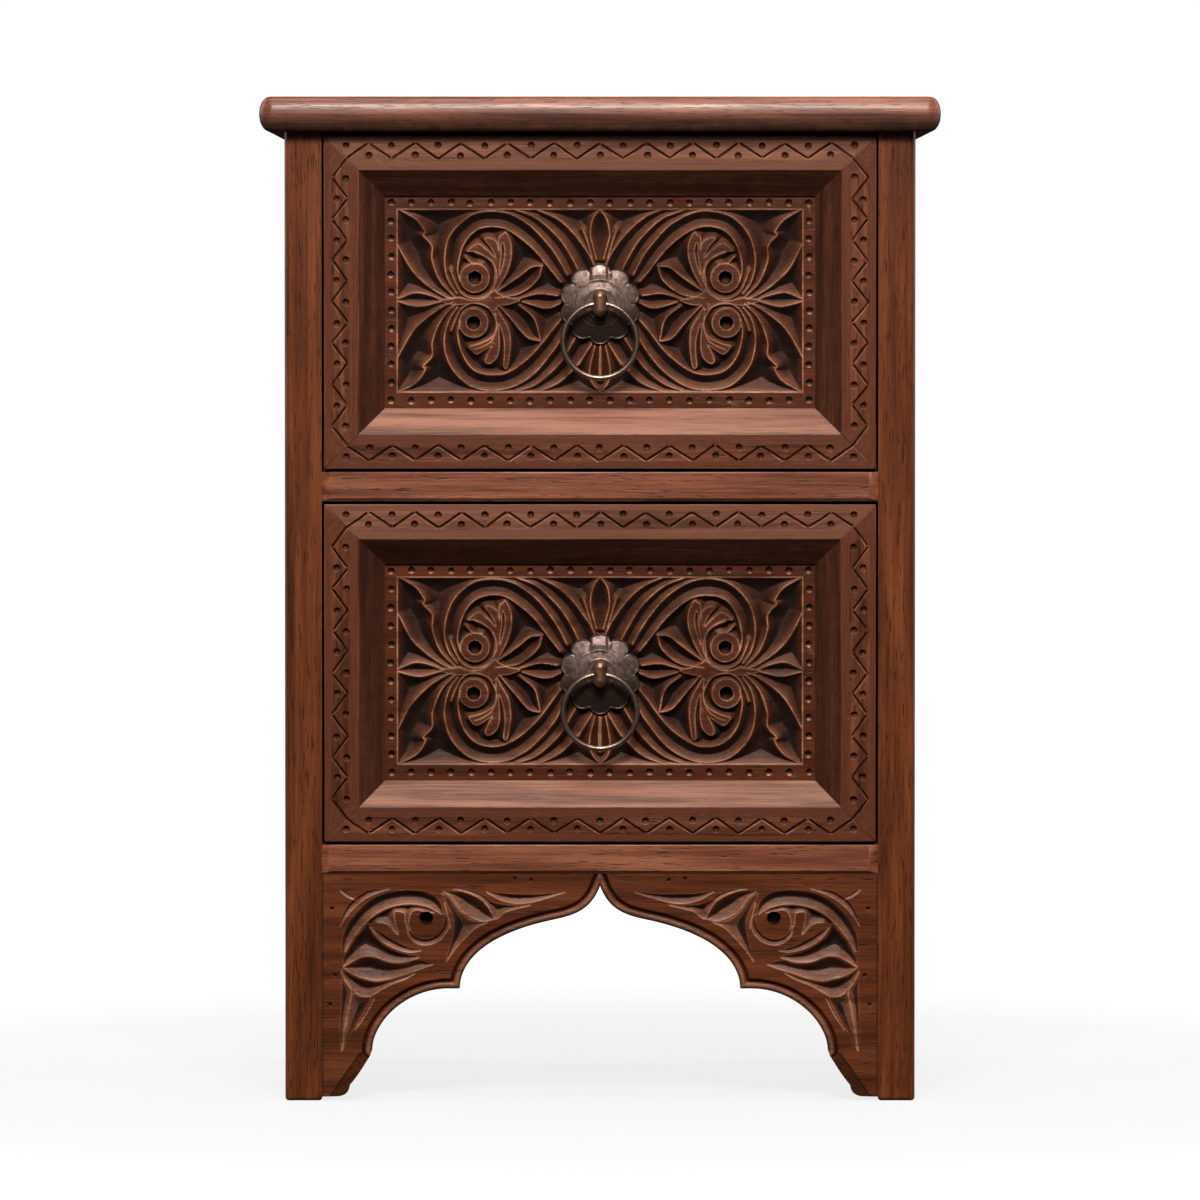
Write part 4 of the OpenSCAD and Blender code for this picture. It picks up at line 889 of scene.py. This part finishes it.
# each chip: the slope of its shaded side, the edge of that side, then the lit edge on the way back
chips = [
    (1.3, [(11.5, 10.2), (16, 11.6), (21, 15.6)], [(21, 16.6), (16, 14.6), (11.5, 10.8)]),
    (1.2, [(43.5, 9.7), (36, 9.9), (28.6, 11.3), (21.5, 15.6), (16.8, 20), (12.8, 27.4),
           (11.8, 34)],
     [(11.8, 34), (15.4, 28), (20.4, 21.8), (28, 15.9), (36, 12.2), (43.5, 9.7)]),
    (1.0, [(12.2, 50.5), (13.6, 39.5), (18.2, 30), (25, 21.8), (33.2, 15.6), (42.2, 12),
           (51.5, 10.6), (60.8, 10.6), (68.8, 12.2), (75, 16.4), (78, 22.4), (77.2, 26)],
     [(77.2, 26), (73.1, 23.4), (68.8, 21.2), (60.8, 19.6), (52.7, 19.6), (44.7, 21),
      (37.3, 24.1), (31.1, 28.4), (26.1, 33.4), (21.2, 39.6), (17.5, 45.1), (15, 50.5)]),
    (1.5, [(28.6, 32), (32, 29), (38, 25), (45, 22), (52.7, 20.5), (60.8, 20.5), (68, 22),
           (72.6, 24.8)],
     [(72.6, 25.2), (67, 24.6), (62, 23.2), (58.4, 24.4), (56.6, 28), (56, 32.5), (57, 36.6),
      (55.2, 35.2), (53.9, 31.5), (53.6, 27.5), (52.9, 25.2), (47.6, 24.5), (46.8, 27.5),
      (47.6, 33), (49.2, 39.2), (45.8, 36), (43.4, 33.4), (40.2, 31.8), (35.6, 31.4)]),
    (1.3, [(56, 34), (57.6, 38), (61.4, 41.2), (67, 42.4), (73, 40.6), (77.8, 35.6), (79.4, 29.6),
           (78.6, 25.6)],
     [(78.8, 25.4), (82, 29.4), (81.4, 36.4), (76, 43.2), (67.4, 46.2), (60.4, 44.2),
      (56, 39.6), (55.4, 34.2)]),
    (1.5, [(31.6, 34.4), (38, 38.1), (44, 42), (52, 46), (58, 48.2), (64, 49.2)],
     [(64, 49.9), (57, 50.8), (49, 48.9), (41, 45), (36, 41), (31.6, 34.8)]),
    (1.1, [(13.2, 60), (14, 55), (16.2, 50.5), (20.2, 43.4), (25.4, 37), (29.6, 32.8), (31.2, 36.4),
           (34.6, 41.6), (41, 46.6), (48, 50.2), (56, 52.4), (62.6, 53)],
     [(62.6, 54.2), (55, 56.6), (48, 57.2), (42, 56.3), (34, 53.4), (27, 53.2), (20.5, 55.8),
      (13.6, 60.2)]),
    (0.8, [(14.4, 60.6), (20.8, 56.8), (27, 54.2), (34, 54.4), (42, 57.3), (48, 58.2), (55, 57.8),
           (62, 55.8), (71.6, 58.4)],
     [(71.6, 58.7), (66, 60.9), (55, 64.4), (45.5, 67.4), (36, 69.1), (28.6, 67.8),
      (20.5, 65.3), (13.9, 61)]),
    (0.9, [(12.4, 61.8), (19.6, 66.2), (28.3, 69), (36, 70.3), (45.5, 68.6), (55, 65.6), (60, 64)],
     [(60, 64.6), (53.8, 68.2), (43.4, 72.4), (34.4, 77.4), (28.6, 80.4), (23, 78), (19.8, 75.2),
      (15.5, 69.5), (12.3, 62.6)]),
    (0.9, [(11.9, 64), (12.6, 74), (12, 88), (11.6, 102), (12.2, 115)],
     [(12.4, 115), (14.2, 101), (16.3, 89), (18.9, 76.8), (15.4, 71), (11.9, 64)]),
    (0.9, [(31.6, 79.5), (29.6, 84.5), (23.6, 95.6), (17.6, 105.4), (13.2, 114.6)],
     [(13.2, 114.2), (15.2, 101), (17.2, 90), (19.8, 78.2), (24.5, 79.6), (31.6, 79.5)]),
    (1.2, [(33.4, 80.6), (27, 90.6), (21.4, 101)], [(21.6, 101.2), (28, 91.6), (33.6, 81)]),
    (1.0, [(84.9, 9.7), (90.5, 9.4), (97.5, 11), (104.5, 13.8), (108.1, 17.3), (115, 19.5),
           (125.6, 20.4), (134.7, 19.9)],
     [(134.7, 20.4), (125.6, 22.6), (118.6, 24.7), (112.5, 29.2), (109, 23.6), (105.3, 18.2),
      (99.8, 14.3), (91.9, 11.2), (84.9, 9.9)]),
    (1.2, [(106.5, 11.2), (118.6, 12.7), (132.6, 13.2), (143.1, 13.0), (157.4, 11.6)],
     [(157.4, 12), (139.6, 17.3), (132.6, 18.7), (124.2, 18.9), (115, 16.5), (106.5, 11.8)]),
    (0.8, [(78.4, 11), (85, 11.2), (91.9, 11.9), (99.4, 15), (104.6, 18.7), (108.2, 23.1),
           (111.2, 28.8)],
     [(111.2, 29.3), (105.2, 30.6), (101, 29.7), (94, 26.6), (89.1, 22.4), (86.3, 18.2),
      (82.5, 14.2), (78.4, 11.3)]),
    (1.1, [(80.2, 56.6), (82.3, 49), (84.6, 40), (85.4, 32), (83.6, 25), (80.6, 19), (77.4, 12.8)],
     [(77.4, 12.8), (82, 15.2), (85.6, 19.4), (88.6, 23.6), (93.4, 27.9), (99, 30.8),
      (106.8, 31.2), (99.6, 34.8), (93, 41), (88, 46.4), (84.2, 51.4), (80.4, 56.8)]),
    (1.2, [(79.6, 18), (82.6, 26), (83.6, 35)], [(83.2, 35.4), (81.4, 27), (79.2, 18.8)])]
nailHoles = [(6.3, 22.4), (8.4, 65.7), (5.1, 84.7), (124.9, 2.9), (135.4, 3.9)]


def cubic(a, b, c, d):
    t = np.linspace(0, 1, 160)[1:, None]
    a, b, c, d = (np.array(p, float) for p in (a, b, c, d))
    return (1 - t) ** 3 * a + 3 * t * (1 - t) ** 2 * b + 3 * t * t * (1 - t) * c + t ** 3 * d


def archLine(reach, drop, toFloor):
    # from the middle of the apron out over the cusp to the toe
    point, turn = np.array((reach, 8.0)), np.array((reach - 31, 30.0))
    cusp, flat = np.array((89.0, 74.5)), np.array((82.0, 74.5))
    leg, knee = np.array((32.0, drop - 32)), np.array((31.0, drop - 29))
    heel, sole = np.array((17.5, drop - 9.5)), np.array((9.5, toFloor))
    upper = [[point], cubic(point, point + (-6, 16), turn + (14, -3), turn),
             cubic(turn, turn + (-21, 4.4), cusp + (1, -28.4), cusp), [flat],
             cubic(flat, flat - (27, 0), leg + (1, -20), leg)]
    lower = [[knee], cubic(knee, knee + (-5, 8), heel + (6, -7), heel),
             cubic(heel, heel + (0, 5), sole + (4, 0), sole)]
    return np.vstack(upper), np.vstack(lower)


def dense(line, step=0.2):
    parts = [np.linspace(a, b, max(2, int(np.linalg.norm(b - a) / step)), endpoint=False)
             for a, b in zip(line, line[1:])]
    return np.vstack(parts + [line[-1:]])


def bracketGrid(reach, toFloor, upper, lower):
    corners = np.array([(0, toFloor), (0, 0), (reach, 0)])
    outline = np.vstack((dense(np.vstack((corners, upper[:1]))), dense(upper),
                         dense(np.vstack((upper[-1:], lower, [(0, toFloor)])))))
    bm = gridMesh(reach / 2, toFloor / 2)
    bmesh.ops.translate(bm, vec=(reach / 2, toFloor / 2, 0), verts=bm.verts)
    middles = np.array([f.calc_center_median()[:2] for f in bm.faces])
    outside = [f for f, within in zip(bm.faces, isInside(middles, outline)) if not within]
    bmesh.ops.delete(bm, geom=outside, context="FACES")
    spots = np.array([v.co[:2] for v in bm.verts])
    rim = np.array([v.is_boundary for v in bm.verts])
    spots[rim] = nearestOn([outline], spots[rim])[1]
    return bm, spots, rim


def chipDepth(spots, shadedEdges, litEdges):
    depth = np.zeros(len(spots))
    for (slope, _, _), shadedEdge, litEdge in zip(chips, shadedEdges, litEdges):
        within = np.nonzero(isInside(spots, np.vstack((shadedEdge, litEdge))))[0]
        if len(within):
            toShaded, _ = nearestOn([shadedEdge], spots[within])
            toLit, _ = nearestOn([litEdge], spots[within])
            cut = np.minimum(slope * toShaded, apron["litSlope"] * toLit)
            depth[within] = np.maximum(depth[within], cut)
    return apron["deepest"] * np.tanh(depth / apron["deepest"])


def mouldingDepth(spots, toArch, lower, toFloor):
    # a bead and its groove along the arch, and below the knee one broad chamfer instead
    bead, groove = apron["bead"], apron["groove"]
    across = np.clip((toArch - bead / 2) / (bead / 2), -1, 1)
    roundTop = apron["beadDrop"] + apron["beadRound"] * (1 - np.sqrt(1 - across ** 2))
    wall = apron["grooveDrop"] * share((bead + groove - toArch) / groove * apron["grooveSteep"])
    knee, toe = np.array((24.6, lower[0][1] - 2.0)), np.array((4.5, toFloor))
    run = (toe - knee) / np.linalg.norm(toe - knee)
    below = (spots - knee) @ run > 0
    beyond = (spots - knee) @ np.array((-run[1], run[0]))
    chamfer = np.where(beyond < 0, apron["chamferDrop"] - beyond * apron["chamfer"], 0)
    depth = np.where(below, chamfer, np.where(toArch < bead, roundTop, wall))
    return depth, (toArch, across, below, beyond)


def bracketTones(spots, depth, chipped, eye, toShaded, toLit, arch):
    # depths darker with dirt and painted shade, painted shade on the shaded sides, toe and post gap
    tone = apronTone
    toArch, across, below, beyond = arch
    shady, inside = toShaded < toLit, toArch > apron["bead"]
    dirtAndShade = share(depth / tone["darkeningDepth"]) * np.where(shady, 1.0, tone["darkeningOnLit"]) * inside
    # painted shade on the toe's chamfer and its edge, along the post, and in the eye
    dirtAndShade[below & (beyond < 0)] = tone["toe"]
    toeEdge = share(1 - abs(beyond) / tone["toeEdge"])
    atPost = tone["atPost"] * share(1.4 - spots[:, 0] / tone["postWide"])
    for dark in (below * toeEdge, atPost, share(eye / tone["eyeDarkeningDepth"])):
        dirtAndShade = np.maximum(dirtAndShade, dark)
    onBead = (1 - abs(across)) * ((toArch < apron["bead"]) & ~below)
    # painted highlight on the lit sides, the bead and the arrises, partly wear
    wearAndHighlight = arris(toLit, depth, *tone["litArris"])
    for pale in (arris(toShaded, depth, *tone["shadedArris"]), tone["beadHighlight"] * onBead,
                 tone["litSide"] * (~shady & chipped & inside)):
        wearAndHighlight = np.maximum(wearAndHighlight, pale)
    return dirtAndShade, wearAndHighlight


def apronBracket(side, seed):
    node = "apron_bracket_" + side
    low, high = boxOf(node)
    reach, toFloor = high.x - low.x, high.z - low.z
    upper, lower = archLine(reach, high.z, toFloor)
    bm, spots, rim = bracketGrid(reach, toFloor, upper, lower)
    shadedEdges = [handWarp(smoothLine(edge), apron["wander"], seed) for _, edge, _ in chips]
    litEdges = [handWarp(smoothLine(edge), apron["wander"], seed) for _, _, edge in chips]
    toShaded, onShaded = nearestOn(shadedEdges, spots)
    toLit, onLit = nearestOn(litEdges, spots)
    depth = chipDepth(spots, shadedEdges, litEdges)
    chipped = depth > apronTone["chipFrom"]
    marks = surfaceNoise(spots, apron["gougeSize"], seed)
    depth += np.minimum(depth, 1) * apron["gouge"] * marks
    depth += apron["wave"] * surfaceNoise(spots, apron["waveSize"], seed + 4)
    eye = eyeHollow(spots, apron["eye"], apron)
    depth = np.maximum(depth, eye)
    for nail in nailHoles:
        fromNail = np.linalg.norm(spots - nail, axis=1) / apron["nailRadius"]
        depth = np.maximum(depth, apron["nailDepth"] * share(1.5 - fromNail))

    past = upper[0] + 60 * (upper[0] - upper[1])  # the moulding runs on where the brackets meet
    toArch, _ = nearestOn([dense(np.vstack((past, upper)))], spots)
    moulding, arch = mouldingDepth(spots, toArch, lower, toFloor)
    depth = np.maximum(depth, moulding)
    free = ~rim & (toArch > apron["bead"] + apron["groove"])
    snapTo(((toShaded, onShaded), (toLit, onLit)), free, eye, spots, depth)
    dirtAndShade, wearAndHighlight = bracketTones(spots, depth, chipped, eye, toShaded, toLit, arch)
    sign = 1 if side == "left" else -1
    shapeFace(bm, spots * (sign, -1), depth, dirtAndShade, wearAndHighlight, np.minimum(toShaded, toLit))
    closeBlock(bm, -apron["thickness"])
    post = low.x if side == "left" else high.x
    finishRelief(bm, node, (post, low.y, high.z), apron["faces"], "apron")


for side, seed in (("left", 3.1), ("right", 8.6)):
    apronBracket(side, seed)
print("brackets made")


# Pulls: a plate of ten petals with curled rims round a ringed dome, a lug and a ring
pulls = {
    "petals": 10, "petalOut": 18.8, "petalRadius": 7.6, "thickness": 1.1, "thinnest": 0.5,
    "dome": 5.0, "collar": 8.6, "fallCurve": 1.35, "bore": 2.6, "rows": 58, "around": 360,
    "rim": 0.6, "rimHeight": 0.5, "rimMiddle": 0.45, "crease": 0.5, "creaseWide": 0.8,
    "creaseFrom": 19.5, "creaseOver": 2, "darkBelow": 2.0, "darkOver": 1.2, "darkShare": 0.6,
    "ringRadius": 24.0, "rod": 1.8}
turnedLines = ((9.6, 0.3, 0.6), (15.4, 0.22, 0.5))  # radius, height and half width of each
tongue = {  # the top petal is bent into a tongue with a rolled right side
    "from": 14, "over": 5, "angle": 0.42, "middle": -0.6, "halfWide": 6.4, "soft": 2.2,
    "height": 0.9, "rollAt": 6.6, "rollWide": 1.2, "rollFrom": 17, "rollOver": 3,
    "rollHeight": 0.7}
petalStep = 2 * math.pi / pulls["petals"]


def fromPetal(turn):
    # the angle from the middle of the nearest petal; one petal points straight up
    return (turn - math.pi / 2 + petalStep / 2) % petalStep - petalStep / 2


def outlineRadius(turn):
    off = fromPetal(turn)
    out, r = pulls["petalOut"], pulls["petalRadius"]
    return out * math.cos(off) + math.sqrt(r * r - (out * math.sin(off)) ** 2)


def tongueHeight(r, turn):
    fromTop = (turn - math.pi / 2 + math.pi) % (2 * math.pi) - math.pi
    if r <= tongue["from"] or abs(fromTop) >= tongue["angle"]:
        return 0
    side = -r * math.sin(fromTop)
    bent = clamp((tongue["halfWide"] - abs(side - tongue["middle"])) / tongue["soft"])
    bent *= min((r - tongue["from"]) / tongue["over"], 1)
    rolled = max(0, 1 - abs(side - tongue["rollAt"]) / tongue["rollWide"])
    rolled *= clamp((r - tongue["rollFrom"]) / tongue["rollOver"])
    return tongue["height"] * bent + tongue["rollHeight"] * rolled


def plateHeight(r, turn, edge):
    # height above the panel of the plate's face; edge is the distance to its outline
    reach = pulls["petalOut"] + pulls["petalRadius"]
    fall = clamp((r - pulls["collar"]) / (reach - pulls["collar"]))
    height = pulls["dome"] - (pulls["dome"] - pulls["thickness"]) * fall ** pulls["fallCurve"]
    # each petal is a little hollow inside its curled rim, and creased at its neighbours' notch
    toNotch = abs(abs(fromPetal(turn)) - petalStep / 2) * r
    crease = pulls["crease"] * max(0, 1 - toNotch / pulls["creaseWide"])
    height -= crease * clamp((r - pulls["creaseFrom"]) / pulls["creaseOver"])
    for ringAt, tall, wide in turnedLines:
        height += tall * max(0, 1 - abs(r - ringAt) / wide)
    height += pulls["rimHeight"] * max(0, 1 - abs(edge - pulls["rimMiddle"]) / pulls["rim"])
    return max(height + tongueHeight(r, turn), pulls["thinnest"])


def pullPlate(drawer):
    node = drawer + "_pull_plate"
    low, high = boxOf(node)
    middle = ((low.x + high.x) / 2, high.y, (low.z + high.z) / 2)
    bm = bmesh.new()
    bore, rows = pulls["bore"], pulls["rows"]
    span = pulls["petalOut"] + pulls["petalRadius"] - bore
    profile = [bm.verts.new((bore + span * i / rows, 0, 0)) for i in range(rows + 1)]
    lines = [bm.edges.new(pair) for pair in zip(profile, profile[1:])]
    bmesh.ops.spin(bm, geom=profile + lines, axis=(0, 0, 1), cent=(0, 0, 0),
                   steps=pulls["around"], angle=2 * math.pi, use_merge=True)
    dirtAndShade = bm.verts.layers.float.new("dirtAndShade")
    for v in bm.verts:
        turn = math.atan2(v.co.y, v.co.x)
        outline = outlineRadius(turn)
        r = bore + (math.hypot(v.co.x, v.co.y) - bore) / span * (outline - bore)
        height = plateHeight(r, turn, outline - r)
        x, y = r * math.cos(turn), r * math.sin(turn)
        v.co = (x, y, height)
        # the low outer rims are darker, and the lower half has painted shade
        rimDark = pulls["darkShare"] * clamp((pulls["darkBelow"] - height) / pulls["darkOver"])
        v[dirtAndShade] = max(rimDark, clamp(-y / 9 - 0.1, 0, 0.9))
    closeBlock(bm, 0.0)
    finishPull(bm, node, middle, metals["plate"])


def finishPull(bm, node, origin, material):
    standUp(bm, origin)
    mesh = meshOf(bm, node)
    smoothShade(mesh, 38)
    placeMesh(node + "_metal", mesh, material, bodyOf(node), [node])


def pullRing(drawer):
    node = drawer + "_pull_ring"
    low, high = boxOf(node)
    middle = tuple((low + high) / 2)
    bm = bmesh.new()
    rod = bmesh.ops.create_circle(bm, segments=28, radius=pulls["rod"])["verts"]
    bmesh.ops.rotate(bm, matrix=Matrix.Rotation(math.pi / 2, 3, "X"), verts=rod)
    bmesh.ops.translate(bm, vec=(pulls["ringRadius"], 0, 0), verts=rod)
    bmesh.ops.spin(bm, geom=bm.verts[:] + bm.edges[:], axis=(0, 0, 1), cent=(0, 0, 0),
                   steps=160, angle=2 * math.pi, use_merge=True)
    finishPull(bm, node, middle, metals["ring"])


def pullLug(drawer):
    node = drawer + "_pull_post"
    mesh = meshOf(nodeCopy(node), node)
    smoothShade(mesh, 30)
    placeMesh(node + "_metal", mesh, metals["lug"], bodyOf(node), [node])


for drawer in drawers:
    pullPlate(drawer)
    pullRing(drawer)
    pullLug(drawer)
print("pulls made")


# Room: a pale floor, a white background for the camera, a wide soft lamp overhead
room = {
    "floorGrey": "#2e2d2c", "reach": 40.0, "ambient": 0.02, "glossy": 0.02,
    "floorGlow": 0.8, "floorPaint": 0.12, "glowFrom": 0.55, "glowTo": 1.3,
    "cameraAway": 6.0, "cameraHigh": 0.519, "aimHigh": 0.3247, "sensor": 36.0,
    "frameWide": 0.7761}


def whiteForCamera(tree, ordinary, white):
    # what the camera, and glass, see is white; metal and wax see a share of it
    path = addNode(tree, "LightPath").outputs
    glossy = calculate(tree, "MULTIPLY", path["Is Glossy Ray"], room["glossy"])
    seen = calculate(tree, "MAXIMUM", path["Is Camera Ray"], path["Is Transmission Ray"])
    seen = calculate(tree, "MAXIMUM", seen, glossy)
    return addNode(tree, "MixShader", {0: seen, 1: ordinary.outputs[0], 2: white.outputs[0]})


world = bpy.data.worlds.new("studio")
bpy.context.scene.world = world
world.use_nodes = True
world.node_tree.nodes.clear()
ambient, sky = (addNode(world.node_tree, "Background", {"Color": (1, 1, 1, 1), "Strength": level})
                for level in (room["ambient"], 1.0))
addNode(world.node_tree, "OutputWorld",
        {"Surface": whiteForCamera(world.node_tree, ambient, sky).outputs[0]})

floorMaterial, floorTree = newMaterial("pale painted floor")
floorPaint = addNode(floorTree, "BsdfDiffuse", {"Color": linearColour(room["floorGrey"])})
# the camera sees white paint that keeps the chest's soft shadow and goes plain white far away
fromChest = addNode(floorTree, "VectorMath", {
    0: addNode(floorTree, "TexCoord").outputs["Object"]}, operation="LENGTH").outputs["Value"]
glow = remap(floorTree, fromChest, room["glowFrom"], room["glowTo"], room["floorGlow"], 1.0)
glowing = addNode(floorTree, "Emission", {"Color": (1, 1, 1, 1), "Strength": glow})
whitePaint = addNode(floorTree, "BsdfDiffuse", {"Color": (room["floorPaint"],) * 3 + (1,)})
bright = addNode(floorTree, "AddShader", {0: glowing.outputs[0], 1: whitePaint.outputs[0]})
floorSeen = whiteForCamera(floorTree, floorPaint, bright)
addNode(floorTree, "OutputMaterial", {"Surface": floorSeen.outputs[0]})
bm = bmesh.new()
bmesh.ops.create_grid(bm, x_segments=1, y_segments=1, size=room["reach"])
floorMesh = meshOf(bm, "floor")
floorMesh.materials.append(floorMaterial)
floor = bpy.data.objects.new("floor", floorMesh)
bpy.context.scene.collection.objects.link(floor)


def softLamp(name, place, aim, wide, high, power):
    lamp = bpy.data.lights.new(name, "AREA")
    lamp.shape = "RECTANGLE"
    lamp.size, lamp.size_y, lamp.energy = wide, high, power
    holder = bpy.data.objects.new(name, lamp)
    bpy.context.scene.collection.objects.link(holder)
    holder.location = place
    direction = Vector(aim) - Vector(place)
    holder.rotation_euler = direction.to_track_quat("-Z", "Y").to_euler()


softLamp("key", (0.0, -2.25, 1.98), (0, -0.16, 0.35), 1.0, 0.6, 66)
softLamp("overhead", (0.0, -0.6, 2.35), (0, -0.16, 0.35), 1.8, 0.9, 20)
softLamp("spark", (-0.2, -2.9, 1.65), (0, -0.16, 0.4), 0.4, 0.4, 7)
for side in (-1, 1):
    softLamp("side", (2.2 * side, 0.7, 1.3), (0.2 * side, 0.1, 0.3), 1.6, 2.4, 30)
softLamp("behind", (0.0, 2.6, 1.6), (0, 0.2, 0.3), 2.4, 2.0, 45)

camera = bpy.data.cameras.new("camera")
camera.sensor_width = room["sensor"]
camera.lens = room["sensor"] * room["cameraAway"] / room["frameWide"]
camera.clip_end = 100
holder = bpy.data.objects.new("camera", camera)
bpy.context.scene.collection.objects.link(holder)
eyePoint = Vector((0, yFront * mm - room["cameraAway"], room["cameraHigh"]))
holder.location = eyePoint
aimAt = Vector((0, yFront * mm, room["aimHigh"]))
holder.rotation_euler = (aimAt - eyePoint).to_track_quat("-Z", "Y").to_euler()
bpy.context.scene.camera = holder
bpy.context.scene.view_settings.view_transform = "Standard"
print("room, lamps and camera made")
